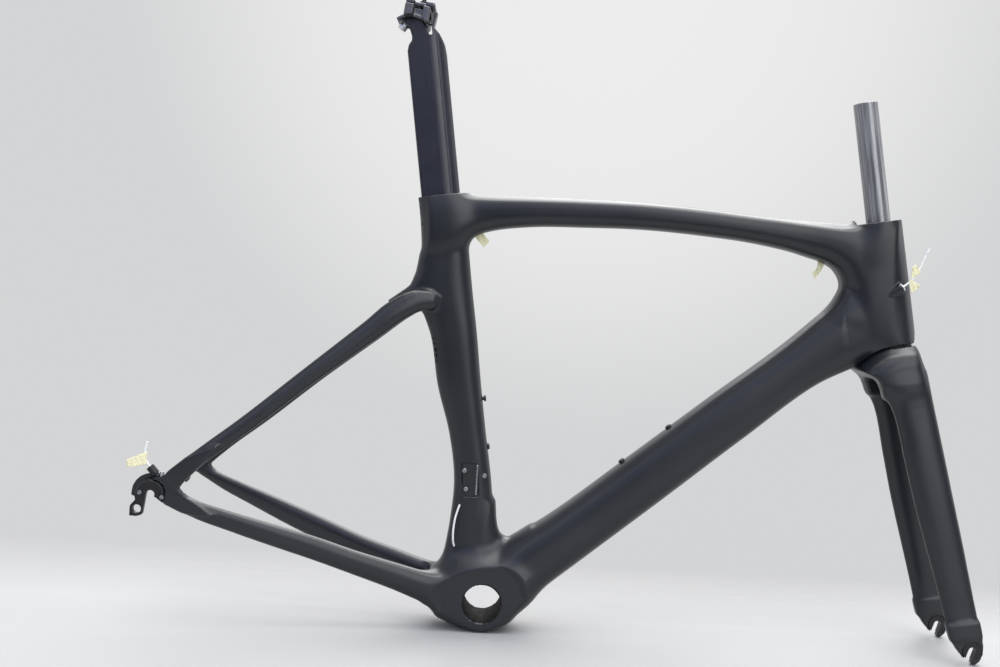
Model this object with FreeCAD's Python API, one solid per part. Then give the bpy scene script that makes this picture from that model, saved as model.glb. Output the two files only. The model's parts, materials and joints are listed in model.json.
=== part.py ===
"""Carbon road bicycle frame with fork, aero seatpost and saddle clamp.

Millimetres. Origin at the centre of the bottom bracket, +X forward, +Y to the rider's left,
+Z up with the wheel axles level.
"""
import FreeCAD
import Part
import math
import os

Vector = FreeCAD.Vector

# ---- driving dimensions -------------------------------------------------------------------
REAR_AXLE = (-405.0, 63.0)          # side view x, z
FRONT_AXLE_UV = (36.5, 527.0)       # ahead of and down the steering axis
REAR_SPACING = 130.0                # between the inner faces of the rear dropouts
FRONT_SPACING = 100.0               # between the inner faces of the fork tips
REAR_SLOT = 10.0
FRONT_SLOT = 9.0

HEAD_ANGLE = math.radians(72.0)
HEAD_DATUM = (381.5, 553.0)         # point on the steering axis where v = 0
HEAD_TOP_V = 10.0
HEAD_BOTTOM_V = 160.0
HEAD_TOP_R = 27.0
HEAD_BOTTOM_R = 28.5
STEERER_TOP_V = -134.4
STEERER_R = 14.3
STEERER_WALL = 2.6
STEERER_LOWER_R = 16.4
STEERER_TAPER_END_V = 130.0         # the taper starts at the top of the head tube
CROWN_GAP = 2.5
CROWN_CONE_R = 58.0                 # where the fairing of the crown ends
CROWN_CONE_DROP = 25.0
CROWN_BOTTOM_V = 206.0
TYRE_R = 336.0
TYRE_HALF_WIDTH = 22.0

BB_BORE_R = 23.0
BB_OUTER_R = 32.0
BB_WIDTH = 68.0

SEAT_TOP = (-143.0, 473.0)          # seat tube axis at its top edge
SEAT_ANGLE = math.radians(73.6)
POST_CHORD = 46.7
POST_WIDTH = 25.0
POST_CLEARANCE = 0.3
POST_INSERTION = 130.0
POST_POCKET = 200.0
POST_SHOULDER = 178.0
POST_WALL = 2.4
POST_CAP = 8.0                      # solid above the post's bore
POST_NOSE_SHARE = 0.78              # the nose's length, as a share of the width
POST_CHEEK_DEPTH = 4.2              # a point on the nose, behind its tip
POST_CHEEK_SHARE = 0.66             # and its share of the half width there
POST_TAIL_SHARE = 0.33              # half width of the tail, as a share of the width
POST_TAIL_SPREAD = 1.4
POST_TAIL_CORNER = 3.0

WALL = 2.2
TAPER = 2.6                         # roundness exponent of the tube sections
SECTION_POINTS = 20
FIT_GAP = 0.3

AXIS_Y = Vector(0, 1, 0)
DOWN_AXIS = Vector(math.cos(HEAD_ANGLE), 0, -math.sin(HEAD_ANGLE))
AHEAD_AXIS = Vector(math.sin(HEAD_ANGLE), 0, math.cos(HEAD_ANGLE))
SEAT_UP = Vector(-math.cos(SEAT_ANGLE), 0, math.sin(SEAT_ANGLE))
SEAT_AHEAD = Vector(math.sin(SEAT_ANGLE), 0, math.cos(SEAT_ANGLE))


# ---- coordinates --------------------------------------------------------------------------
def side(x, z, y=0.0):
    """A point given in side view."""
    return Vector(x, y, z)


def steer(u, v, y=0.0):
    """A point u ahead of the steering axis and v down it."""
    return side(HEAD_DATUM[0], HEAD_DATUM[1], y) + AHEAD_AXIS * u + DOWN_AXIS * v


def seat(p, s, y=0.0):
    """A point p ahead of the seat tube axis and s up from the tube's top edge."""
    return side(SEAT_TOP[0], SEAT_TOP[1], y) + SEAT_AHEAD * p + SEAT_UP * s


def outward(sign, value):
    """A y on the rider's right for sign -1 and on the left for sign 1."""
    return sign * value


# ---- building blocks ----------------------------------------------------------------------
def save(name, *solids):
    shapes = [solid for shape in solids for solid in shape.Solids]
    body = shapes[0] if len(shapes) == 1 else Part.makeCompound(shapes)
    body.exportStep("parts/" + name + ".step")
    volume = sum(solid.Volume for solid in shapes)
    print(name, len(shapes), "solids", round(volume), "mm3", "valid" if body.isValid() else "NOT VALID")


def closed_curve(points):
    curve = Part.BSplineCurve()
    curve.interpolate(points, PeriodicFlag=True)
    return Part.Wire([curve.toShape()])


def section(upper, lower, width, inset=0.0, power=TAPER):
    """A rounded section between two side-view points, width across."""
    centre = (upper + lower) * 0.5
    chord = upper - lower
    half = chord.Length / 2 - inset
    across = width / 2 - inset
    chord.normalize()
    points = []
    for i in range(SECTION_POINTS):
        angle = 2 * math.pi * i / SECTION_POINTS
        c, s = math.cos(angle), math.sin(angle)
        a = math.copysign(abs(c) ** (2 / power), c)
        b = math.copysign(abs(s) ** (2 / power), s)
        points.append(centre + chord * (half * a) + AXIS_Y * (across * b))
    return closed_curve(points)


def tube(stations, inset=0.0, power=TAPER):
    """A lofted tube. Each station is upper x, z, lower x, z, y, width."""
    wires = [
        section(side(ux, uz, y), side(lx, lz, y), width, inset, power)
        for ux, uz, lx, lz, y, width in stations
    ]
    return Part.makeLoft(wires, True, False)


def prism(wire_points, low, high, axis=AXIS_Y):
    """An extrusion along axis of a flat outline between two offsets."""
    wire = Part.makePolygon([p + axis * low for p in wire_points + wire_points[:1]])
    return Part.Face(wire).extrude(axis * (high - low))


def rod(centre, axis, radius, low, high):
    """A cylinder about axis, from low to high along it."""
    return Part.makeCylinder(radius, high - low, centre + axis * low, axis)


def ring(centre, axis, outer, inner, low, high):
    return rod(centre, axis, outer, low, high).cut(rod(centre, axis, inner, low - 1, high + 1))


def turned(profile):
    """A solid of revolution about the steering axis from (radius, v) pairs."""
    points = [steer(r, v) for r, v in profile]
    face = Part.Face(Part.makePolygon(points + points[:1]))
    return face.revolve(steer(0, 0), DOWN_AXIS, 360)


def socket_bolt(point, direction, head_r, head_h, shank_r, shank_l, socket_r):
    """A domed socket head bolt: head above point, shank below it."""
    head = rod(point, direction, head_r, 0, head_h)
    crest = point + direction * head_h
    rim = [e for e in head.Edges if (e.CenterOfMass - crest).Length < head_r * 0.1]
    head = head.makeFillet(min(head_h * 0.45, head_r * 0.35), rim)
    bolt = head.fuse(rod(point, direction, shank_r, -shank_l, head_h * 0.2)).removeSplitter()
    return bolt.cut(rod(point, direction, socket_r, head_h * 0.35, head_h + 1))


def post_outline(grow=0.0, s=0.0):
    """The seatpost's section: round nose, flat flanks, blunt tail."""
    nose_r = POST_WIDTH / 2 + grow
    front = POST_CHORD / 2 + grow
    tail = -POST_CHORD / 2 - grow
    tail_half = POST_WIDTH * POST_TAIL_SHARE + grow
    widest = front - POST_WIDTH * POST_NOSE_SHARE
    shoulder = tail_half + POST_TAIL_SPREAD
    blunt = tail_half - POST_TAIL_CORNER * 0.6
    points = [
        seat(front, s, 0),
        seat(widest, s, nose_r),
        seat(tail + POST_TAIL_CORNER, s, shoulder),
        seat(tail, s, blunt),
        seat(tail, s, -blunt),
        seat(tail + POST_TAIL_CORNER, s, -shoulder),
        seat(widest, s, -nose_r),
    ]
    cheek = front - POST_CHEEK_DEPTH
    cheek_half = nose_r * POST_CHEEK_SHARE
    nose_left = Part.BSplineCurve()
    nose_left.interpolate([points[0], seat(cheek, s, cheek_half), points[1]],
                          InitialTangent=AXIS_Y * nose_r, FinalTangent=SEAT_AHEAD * -POST_WIDTH)
    nose_right = Part.BSplineCurve()
    nose_right.interpolate([points[6], seat(cheek, s, -cheek_half), points[0]],
                           InitialTangent=SEAT_AHEAD * POST_WIDTH, FinalTangent=AXIS_Y * nose_r)
    edges = [nose_left.toShape()]
    edges += [Part.LineSegment(a, b).toShape() for a, b in zip(points[1:6], points[2:7])]
    edges.append(nose_right.toShape())
    return Part.Wire(edges)


def post_prism(low, high, grow=0.0):
    return Part.Face(post_outline(grow, low)).extrude(SEAT_UP * (high - low))


def seat_box(p0, p1, s0, s1, half):
    corners = [seat(p0, s0), seat(p1, s0), seat(p1, s1), seat(p0, s1)]
    return prism(corners, -half, half)


# ---- frame tubes --------------------------------------------------------------------------
HEAD_PROFILE = [
    (0, HEAD_TOP_V),
    (HEAD_TOP_R, HEAD_TOP_V),
    (HEAD_BOTTOM_R, HEAD_BOTTOM_V),
    (0, HEAD_BOTTOM_V),
]

# stations: upper or front x, z; lower or rear x, z; y; width across
SEAT_TUBE = [
    (16, 14, -50, 6, 0, 42),
    (7, 55, -56, 38, 0, 40),
    (-5, 100, -57, 86, 0, 37),
    (-17, 146, -61, 134, 0, 35),
    (-35, 203, -78, 191, 0, 34),
    (-52, 260, -103, 246, 0, 35),
    (-68, 317, -122, 301, 0, 36),
    (-85, 373, -148, 355, 0, 37),
    (-97, 415, -152.5, 399, 0, 37),
    (-108, 455, -161.5, 439, 0, 37),
    (-120, 495, -174, 479, 0, 37),
]
TOP_TUBE = [
    (-152, 473, -139, 404, 0, 37),
    (-115, 480, -106, 426, 0, 37),
    (-79, 486, -73, 443, 0, 38),
    (-36, 493, -30, 456, 0, 39),
    (29, 503, 34, 468, 0, 40),
    (102, 512.5, 107, 479.5, 0, 42),
    (175, 519, 178, 486, 0, 43),
    (248, 524, 249, 489, 0, 43),
    (300, 529, 301, 486, 0, 44),
    (337, 533, 342, 477, 0, 47),
    (358, 535.5, 371, 455, 0, 50),
    (377, 537, 394, 430, 0, 52),
]
DOWN_TUBE = [
    (-6, 42, 40, -14, 0, 60),
    (26, 82, 74, 30, 0, 60),
    (62, 117, 110, 70, 0, 60),
    (145, 207, 193, 162, 0, 57),
    (226, 296, 274, 253, 0, 54),
    (308, 385, 354, 339, 0, 51),
    (350, 436, 392, 366, 0, 50),
    (392, 480, 430, 395, 0, 50),
]
# how much higher the left chain stay runs: its upper and its lower edge, station by station
LEFT_STAY_RISE = [(9, 9), (8, 8), (6.5, 3.5), (2.5, -0.5), (0.5, 0.5), (0, 0), (0, 0), (0, 0)]
CHAIN_STAY = [
    (-357, 66, -356, 46, 67, 10),
    (-310, 59, -309, 36, 61, 13),
    (-262, 53, -260, 27, 55, 15),
    (-210, 46, -208, 18, 48, 16),
    (-160, 37, -158, 8, 41, 17),
    (-110, 30, -108, -2.5, 34, 19),
    (-62, 23, -60, -14, 27, 22),
    (-14, 14, -12, -24, 22, 22),
]
SEAT_STAY = [
    (-366, 120, -352.6, 108, 67, 10),
    (-321.7, 168, -307.6, 155.3, 57, 13),
    (-262.8, 236.3, -247.4, 222, 43, 14),
    (-202.8, 305.6, -184.4, 288, 30, 15),
    (-173, 341, -150, 322, 22, 16),
    (-150, 385, -112, 350, 13, 15),
]


def chain_stay_stations(sign):
    stations = []
    for (ux, uz, lx, lz, y, width), (upper_rise, lower_rise) in zip(CHAIN_STAY, LEFT_STAY_RISE):
        if sign > 0:
            uz, lz = uz + upper_rise, lz + lower_rise
        stations.append((ux, uz, lx, lz, outward(sign, y), width))
    return stations


def seat_stay_stations(sign):
    return [(ux, uz, lx, lz, outward(sign, y), width) for ux, uz, lx, lz, y, width in SEAT_STAY]


def head_outer():
    return turned(HEAD_PROFILE)


UPPER_BEARING_R = 20.9
LOWER_BEARING_R = 23.5
UPPER_BEARING_H = 7.0
LOWER_BEARING_H = 8.0
UPPER_SEAT_V = HEAD_TOP_V + 4.0
LOWER_SEAT_V = HEAD_BOTTOM_V - 4.0


def head_tube():
    """Head tube with stepped seats for the two bearings."""
    shell = head_outer()
    upper_end = UPPER_SEAT_V + UPPER_BEARING_H
    lower_start = LOWER_SEAT_V - LOWER_BEARING_H
    shell = shell.cut(rod(steer(0, 0), DOWN_AXIS, UPPER_BEARING_R, HEAD_TOP_V - 5, upper_end))
    shell = shell.cut(rod(steer(0, 0), DOWN_AXIS, UPPER_BEARING_R - 2.5, upper_end - 1, lower_start + 1))
    return shell.cut(rod(steer(0, 0), DOWN_AXIS, LOWER_BEARING_R, lower_start, HEAD_BOTTOM_V + 5))


def crown_clearance(v_shift=0.0):
    """All the space under the crown's turning fairing."""
    top = HEAD_BOTTOM_V + v_shift
    slope = CROWN_CONE_DROP / (CROWN_CONE_R - HEAD_BOTTOM_R)
    far = 150.0
    return turned([
        (0, top),
        (HEAD_BOTTOM_R, top),
        (far, top + slope * (far - HEAD_BOTTOM_R)),
        (far, top + 200),
        (0, top + 200),
    ])


def bb_shell():
    return rod(side(0, 0), AXIS_Y, BB_OUTER_R, -BB_WIDTH / 2, BB_WIDTH / 2)


def down_tube(head, bracket):
    outer = tube(DOWN_TUBE).cut(head).cut(bracket).cut(crown_clearance())
    inner = tube(DOWN_TUBE, inset=WALL).cut(crown_clearance(-WALL))
    return outer, outer.cut(inner)


def seat_tube(bracket, down):
    """Seat tube with the pocket for the post and a hollow below it."""
    top_cut = Part.makeBox(300, 200, 100)
    top_cut.Placement = FreeCAD.Placement(
        seat(-150, 0, -100), FreeCAD.Rotation(SEAT_AHEAD, AXIS_Y, SEAT_UP, "XYZ"))
    outer = tube(SEAT_TUBE).cut(top_cut).cut(bracket).cut(down)
    lower = tube(SEAT_TUBE, inset=WALL + 0.6)
    ceiling = seat_box(-60, 60, -POST_POCKET - 4, 100, 40)
    hollow = outer.cut(post_prism(-POST_POCKET, 5, POST_CLEARANCE))
    return outer, hollow.cut(lower.cut(ceiling))


def top_tube(head, seat_outer, down):
    outer = tube(TOP_TUBE).cut(head).cut(seat_outer).cut(down)
    return outer, outer.cut(tube(TOP_TUBE, inset=WALL))


def largest(shape):
    """The main piece, without the crumbs that trimming leaves."""
    return max(shape.Solids, key=lambda solid: solid.Volume)


def chain_stay(sign, trims):
    outer = tube(chain_stay_stations(sign))
    hollow = outer.cut(tube(chain_stay_stations(sign), inset=WALL))
    for trim in trims:
        hollow = hollow.cut(trim)
    return largest(hollow)


def seat_stay(sign, trims):
    outer = tube(seat_stay_stations(sign))
    hollow = outer.cut(tube(seat_stay_stations(sign), inset=WALL))
    for trim in trims:
        hollow = hollow.cut(trim)
    return largest(hollow)


# ---- rear dropouts and hanger -------------------------------------------------------------
AXLE = side(REAR_AXLE[0], REAR_AXLE[1])
INNER_FACE = REAR_SPACING / 2
HANGER_THICKNESS = 7.0
DROPOUT_THICKNESS = 8.0
ARCH_R = 18.0
LEFT_ARCH_R = 16.5
LEFT_ARCH_BOTTOM = 50.0
BACKING_OUTER_R = 24.0
BACKING_INNER_R = 10.5
BACKING_THICKNESS = 3.5
BACKING_BOTTOM = 56.0
HANGER_BOLT_R = 1.5
HANGER_HEAD_R = 2.9
HANGER_HEAD_DEPTH = 1.8
HANGER_BOLTS = [(-391.4, 62.2), (-417.7, 63.1)]
HANGER_EYE = (-417.3, 43.6)
EYE_R = 5.0
EYE_BOSS_R = 8.6
ARCH_CUT = [
    (-440, 62), (-410, 52), (-399, 61), (-388.5, 55.5), (-380, 50), (-380, 30), (-440, 30),
]
HANGER_LEG = [
    (-422.5, 66), (-421, 54), (-425.5, 46), (-424.6, 34), (-417, 35), (-411, 38), (-407.6, 47.5),
    (-408.5, 62),
]
RIGHT_KNUCKLE = [
    (-388.5, 55.5), (-356, 46), (-357, 66), (-377, 75.5), (-371, 82.5), (-351, 106.5),
    (-366, 120), (-383, 98), (-395, 86.5), (-412, 80.5), (-405, 63),
]
LEFT_KNUCKLE = [
    (-388.5, 61), (-356, 55), (-357, 75), (-375, 84.5), (-372, 90), (-351, 106.5),
    (-366, 120), (-383, 98), (-394, 84), (-409, 78), (-405, 63),
]


def knuckle_points(sign):
    """Side outline of the joint between the stays, the left one set a little higher."""
    outline = LEFT_KNUCKLE if sign > 0 else RIGHT_KNUCKLE
    return [side(x, z) for x, z in outline]


def slot_cutter(low, high):
    """The rear axle slot, open at the bottom."""
    half = REAR_SLOT / 2
    x, z = REAR_AXLE
    corners = [side(x - half, z), side(x + half, z), side(x + half, z - 40), side(x - half, z - 40)]
    return rod(AXLE, AXIS_Y, half, low, high).fuse(prism(corners, low, high))


def right_dropout(hanger):
    """Carbon knuckle with a thin inner ring that the hanger is bolted to."""
    low, high = -INNER_FACE - DROPOUT_THICKNESS, -INNER_FACE
    arch = rod(AXLE, AXIS_Y, ARCH_R, low, high)
    knuckle = prism(knuckle_points(-1), low, high).cut(arch).cut(hanger)
    backing = ring(AXLE, AXIS_Y, BACKING_OUTER_R, BACKING_INNER_R, high, high + BACKING_THICKNESS)
    body = knuckle.fuse(backing.cut(half_plane(BACKING_BOTTOM, -360, high - 1, high + 5)))
    for x, z in HANGER_BOLTS:
        body = body.cut(rod(side(x, z), AXIS_Y, HANGER_BOLT_R, low - 2, high + 10))
    return body


def half_plane(z, front, low, high):
    """Everything under height z behind front, to cut the foot off a dropout."""
    return prism([side(-440, z), side(front, z), side(front, 20), side(-440, 20)], low, high)


def left_dropout():
    low, high = INNER_FACE, INNER_FACE + DROPOUT_THICKNESS
    arch = rod(AXLE, AXIS_Y, LEFT_ARCH_R, low, high)
    foot = half_plane(LEFT_ARCH_BOTTOM, -395, low - 1, high + 1)
    body = prism(knuckle_points(1), low, high).fuse(arch.cut(foot))
    return body.cut(slot_cutter(low - 1, high + 1)).removeSplitter()


def hanger():
    """Replaceable derailleur hanger: an arch over the axle slot and a leg down to the threaded eye."""
    low, high = -INNER_FACE - HANGER_THICKNESS, -INNER_FACE
    arch = rod(AXLE, AXIS_Y, ARCH_R, low, high)
    below = prism([side(x, z) for x, z in ARCH_CUT], low - 1, high + 1)
    leg = prism([side(x, z) for x, z in HANGER_LEG], low, high)
    eye = side(*HANGER_EYE)
    body = arch.cut(below).fuse(leg).fuse(rod(eye, AXIS_Y, EYE_BOSS_R, low, high))
    body = body.cut(slot_cutter(low - 1, high + 1)).cut(rod(eye, AXIS_Y, EYE_R, low - 1, high + 1))
    for x, z in HANGER_BOLTS:
        body = body.cut(rod(side(x, z), AXIS_Y, HANGER_BOLT_R, low - 1, high + 1))
        body = body.cut(rod(side(x, z), AXIS_Y, HANGER_HEAD_R, low - 1, low + HANGER_HEAD_DEPTH))
    return body.removeSplitter()


def hanger_bolts():
    y = -INNER_FACE - HANGER_THICKNESS + HANGER_HEAD_DEPTH
    away = AXIS_Y * -1
    return [socket_bolt(side(x, z, y), away, 2.7, 1.4, 1.4, 7.0, 1.2) for x, z in HANGER_BOLTS]


STOP_BASE = side(-400.5, 84.6, -66.5)
STOP_DIRECTION = Vector(-0.78, 0, 0.63)
STOP_STEM_R = 3.4
STOP_STEM_TOP = 4.0
STOP_BARREL_R = 5.0
STOP_TOP = 15.0
FERRULE_BASE = side(-396.5, 86.5, -66.5)
FERRULE_DIRECTION = Vector(-0.1, 0, 0.99)
FERRULE_R = 2.6
FERRULE_HEIGHT = 4.5


def cable_stop():
    """Derailleur cable stop standing up behind the right dropout."""
    stem = rod(STOP_BASE, STOP_DIRECTION, STOP_STEM_R, 0, STOP_STEM_TOP + 1)
    barrel = rod(STOP_BASE, STOP_DIRECTION, STOP_BARREL_R, STOP_STEM_TOP, STOP_TOP)
    bore = rod(STOP_BASE, STOP_DIRECTION, LINER_HOLE_R, -1, STOP_TOP + 1)
    return barrel.fuse(stem).removeSplitter().cut(bore)


def cable_ferrule(trims):
    """Short grey cable end button beside the stop."""
    button = rod(FERRULE_BASE, FERRULE_DIRECTION, FERRULE_R, 0, FERRULE_HEIGHT)
    for trim in trims:
        button = button.cut(trim)
    return largest(button)


# ---- fittings -----------------------------------------------------------------------------
SEAT_BOSSES = [(-44.5, 241), (-29, 184)]
DOWN_BOSSES = [(184, 249.5), (136, 197.5)]
SEAT_BOSS_WAY = Vector(0.958, 0, 0.287)
DOWN_BOSS_WAY = Vector(-0.735, 0, 0.678)
BOSS_SHANK_R = 2.4
BOSS_HEAD_R = 4.0
BOSS_HEAD_H = 2.6
BOSS_SHANK = 11.0
BOSS_SOCKET_R = 1.6


def bottle_bolts(points, way):
    """Bottle cage bolts, heads just proud of the tube."""
    return [
        socket_bolt(side(x, z), way, BOSS_HEAD_R, BOSS_HEAD_H, BOSS_SHANK_R, BOSS_SHANK, BOSS_SOCKET_R)
        for x, z in points
    ]


def boss_holes(points, way):
    """Room for the bottle cage bolts: shanks in the wall, heads on it."""
    holes = []
    for x, z in points:
        holes.append(rod(side(x, z), way, BOSS_SHANK_R, -BOSS_SHANK - 3, 0.5))
        holes.append(rod(side(x, z), way, BOSS_HEAD_R, 0, 12))
    return holes


MOUNT_FACE_Y = -16.6
MOUNT_BACK_Y = -11.5
FD_BOLTS = [side(-51, 152, MOUNT_FACE_Y), side(-45, 130, MOUNT_FACE_Y)]
FD_SIDE_BOLT = side(-26, 150, -15.2)
FD_BOLT_R = 1.6
FD_HEAD_R = 2.8
FD_SHANK = 4.6
FD_OUTLINE = [(-55, 160), (-38, 163), (-33, 144), (-29, 124), (-43, 121), (-50, 136)]


def mount_block(low):
    return prism([side(x, z) for x, z in FD_OUTLINE], low, MOUNT_BACK_Y)


def front_derailleur_mount():
    """Plate let into the seat tube's right flank that carries the front derailleur."""
    plate = mount_block(MOUNT_FACE_Y)
    for point in FD_BOLTS:
        plate = plate.cut(rod(point, AXIS_Y, FD_BOLT_R, -1, FD_SHANK + 1))
    return plate


def mount_bolts():
    """Two bolts through the plate and one beside it."""
    away = AXIS_Y * -1
    return [
        socket_bolt(point, away, FD_HEAD_R, 1.6, FD_BOLT_R, FD_SHANK, 1.2)
        for point in FD_BOLTS + [FD_SIDE_BOLT]
    ]


def mount_bolt_holes():
    """Room in the seat tube for the heads, and for the side bolt's shank."""
    holes = [rod(point, AXIS_Y, FD_HEAD_R, -12, 0) for point in FD_BOLTS + [FD_SIDE_BOLT]]
    return holes + [rod(FD_SIDE_BOLT, AXIS_Y, FD_BOLT_R, -1, FD_SHANK)]


# ---- fork ---------------------------------------------------------------------------------
BLADE_Y_TOP = 33.5
BLADE_Y_TIP = FRONT_SPACING / 2 + 5.0
TIP_V = 500.0
TIP_THICKNESS = 10.0
# rear edge u, front edge u, v, width across
BLADE = [
    (-27.5, 28.2, CROWN_BOTTOM_V, 19.0),
    (-19.0, 30.5, 236, 18.5),
    (-12.5, 35.3, 300, 17.5),
    (-6.5, 39.4, 356, 16.5),
    (0.2, 43.2, 407, 15.0),
    (6.7, 46.2, 455, 13.0),
    (12.2, 49.2, TIP_V, TIP_THICKNESS),
]
TIP_OUTLINE = [
    (12.2, TIP_V), (14.2, 512), (19.5, 524), (26.0, 534.5), (33.0, 542.5), (38.5, 544.0), (44.5, 540.5),
    (49.0, 532.5), (50.6, 523.0), (49.2, TIP_V),
]
SLOT_ANGLE = math.radians(9.5)
INSERT_R = 11.0


def blade_y(v):
    return BLADE_Y_TOP + (BLADE_Y_TIP - BLADE_Y_TOP) * (v - CROWN_BOTTOM_V) / (TIP_V - CROWN_BOTTOM_V)


def front_slot(low, high):
    centre = steer(*FRONT_AXLE_UV)
    open_way = Vector(-math.sin(SLOT_ANGLE), 0, -math.cos(SLOT_ANGLE))
    across = Vector(math.cos(SLOT_ANGLE), 0, -math.sin(SLOT_ANGLE))
    half = FRONT_SLOT / 2
    corners = [centre - across * half, centre + across * half,
               centre + across * half + open_way * 40, centre - across * half + open_way * 40]
    return rod(centre, AXIS_Y, half, low, high).fuse(prism(corners, low, high))


def blade(sign):
    wires = []
    for rear, front, v, width in BLADE:
        y = outward(sign, blade_y(v))
        wires.append(section(steer(front, v, y), steer(rear, v, y), width, 0.0, 2.3))
    return Part.makeLoft(wires, True, False)


def tip_range(sign):
    low = FRONT_SPACING / 2 if sign > 0 else -FRONT_SPACING / 2 - TIP_THICKNESS
    return low, low + TIP_THICKNESS


def fork_blade(sign):
    """One blade with its flat tip, less the alloy dropout let into it."""
    low, high = tip_range(sign)
    tip = prism([steer(u, v) for u, v in TIP_OUTLINE], low, high)
    insert = rod(steer(*FRONT_AXLE_UV), AXIS_Y, INSERT_R, low - 5, high + 5)
    upper = blade(sign)
    inner = largest(upper)
    body = inner.fuse(tip).cut(insert).cut(front_slot(low - 5, high + 5))
    return largest(body)


def fork_dropout(sign):
    """Alloy axle slot lining let into the blade's tip."""
    low, high = tip_range(sign)
    tip = prism([steer(u, v) for u, v in TIP_OUTLINE], low, high)
    disc = rod(steer(*FRONT_AXLE_UV), AXIS_Y, INSERT_R, low, high)
    return disc.common(tip).cut(front_slot(low - 5, high + 5))


CROWN_OUTLINE = [
    (28.5, 0), (27.0, 20), (22.0, 36), (12.0, 43), (-30.0, 43), (-44.0, 36), (-50.0, 20),
    (-50.0, -20), (-44.0, -36), (-30.0, -43), (12.0, -43), (22.0, -36), (27.0, -20),
]
CHIN = [(-70, 182), (-51, 187), (-40, 193), (-29, 200), (-27.5, 215), (-70, 215)]
SOCKET_V = 178.0


def fork_crown():
    """Crown faired into the down tube, its top turned about the steering axis so that it can swing."""
    top = HEAD_BOTTOM_V + CROWN_GAP
    fairing = turned([
        (0, top),
        (HEAD_BOTTOM_R, top),
        (CROWN_CONE_R, top + CROWN_CONE_DROP),
        (CROWN_CONE_R, CROWN_BOTTOM_V),
        (0, CROWN_BOTTOM_V),
    ])
    plan = closed_curve([steer(u, top - 5, y) for u, y in CROWN_OUTLINE])
    block = Part.Face(plan).extrude(DOWN_AXIS * (CROWN_BOTTOM_V - top + 5))
    tyre = rod(steer(*FRONT_AXLE_UV), AXIS_Y, TYRE_R, -TYRE_HALF_WIDTH, TYRE_HALF_WIDTH)
    chin = prism([steer(u, v) for u, v in CHIN], -60, 60)
    crown = fairing.common(block).cut(tyre).cut(chin)
    return crown.cut(rod(steer(0, 0), DOWN_AXIS, STEERER_LOWER_R, 100, SOCKET_V))


def steerer_radius(v):
    """The steerer's outer radius inside the head tube."""
    share = (v - HEAD_TOP_V) / (STEERER_TAPER_END_V - HEAD_TOP_V)
    return STEERER_R + (STEERER_LOWER_R - STEERER_R) * share


def steerer():
    """Steerer tube, round above the head tube and tapering out below its top, with a plain bore."""
    outer = turned([
        (0, STEERER_TOP_V),
        (STEERER_R, STEERER_TOP_V),
        (STEERER_R, HEAD_TOP_V),
        (STEERER_LOWER_R, STEERER_TAPER_END_V),
        (STEERER_LOWER_R, SOCKET_V),
        (0, SOCKET_V),
    ])
    return outer.cut(rod(steer(0, 0), DOWN_AXIS, STEERER_R - STEERER_WALL, STEERER_TOP_V - 1, SOCKET_V - 6))


def bearing(outer, inner, start, height):
    return ring(steer(0, 0), DOWN_AXIS, outer, inner, start, start + height)


RUNNING_GAP = 0.08
UPPER_BORE_R = 15.8
LOWER_BORE_R = 18.2


def compression_ring():
    """Split ring between the steerer and the upper bearing."""
    body = turned([
        (STEERER_R, HEAD_TOP_V),
        (UPPER_BEARING_R - FIT_GAP, HEAD_TOP_V),
        (UPPER_BEARING_R - FIT_GAP, UPPER_SEAT_V - FIT_GAP),
        (UPPER_BORE_R - RUNNING_GAP, UPPER_SEAT_V - FIT_GAP),
        (UPPER_BORE_R - RUNNING_GAP, UPPER_SEAT_V + UPPER_BEARING_H),
        (steerer_radius(UPPER_SEAT_V + UPPER_BEARING_H), UPPER_SEAT_V + UPPER_BEARING_H),
    ])
    slit = Part.makeBox(30, 1.2, 60, steer(-30, -20, -0.6))
    slit.rotate(steer(0, 0), AXIS_Y, 90 - math.degrees(HEAD_ANGLE))
    return body.cut(slit)


def crown_race():
    """Race pressed on the foot of the steerer, under the lower bearing."""
    return turned([
        (STEERER_LOWER_R, LOWER_SEAT_V - LOWER_BEARING_H),
        (LOWER_BORE_R - RUNNING_GAP, LOWER_SEAT_V - LOWER_BEARING_H),
        (LOWER_BORE_R - RUNNING_GAP, LOWER_SEAT_V + FIT_GAP),
        (LOWER_BEARING_R - FIT_GAP, LOWER_SEAT_V + FIT_GAP),
        (LOWER_BEARING_R - FIT_GAP, HEAD_BOTTOM_V + CROWN_GAP),
        (STEERER_LOWER_R, HEAD_BOTTOM_V + CROWN_GAP),
    ])


# ---- seatpost and saddle clamp ------------------------------------------------------------
TILT = (-18.5, 191.4)               # tilt axis of the saddle clamp, as p and s
ADJUSTER_TOP = (-6.0, 21.5)         # level x and z from the tilt axis
ADJUSTER_DOWN = Vector(-0.45, 0, -0.89)
ADJUSTER_R = 5.2
ADJUSTER_LENGTH = 15.0
ADJUSTER_SOCKET_R = 2.2
ADJUSTER_ROOM = 0.6
ADJUSTER_SWINGS = [-9, -6, -3, 0, 3, 6, 9]     # degrees of tilt that the post's head leaves room for
ARC_R = 23.0
PLATE = 3.0
PLATE_HALF = 16.0
PLATE_START = math.radians(40)
PLATE_END = math.radians(138)
HEAD_HALF = 12.0
# outline of the post's head as p, s, up the tail and down the nose
POST_FLANK = [
    (-POST_CHORD / 2, POST_SHOULDER), (-20.8, 183), (-16.8, 187.6), (-16.3, 192.5), (-18.4, 203.2),
    (-21.6, 206), (-34, 208), (-34, 225), (20, 225), (10, 201), (16.9, 192.8), (19.6, 186.7),
    (22.6, 178.7), (POST_CHORD / 2, POST_SHOULDER),
]


def clamp(x, z, y=0.0):
    """A point given level with the ground from the clamp's tilt axis."""
    return seat(TILT[0], TILT[1], y) + Vector(x, 0, z)


def adjuster_barrel(radius, low, high):
    """A cylinder on the rear adjuster's axis, from low to high along it."""
    return rod(clamp(*ADJUSTER_TOP), ADJUSTER_DOWN, radius, low, high)


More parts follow.
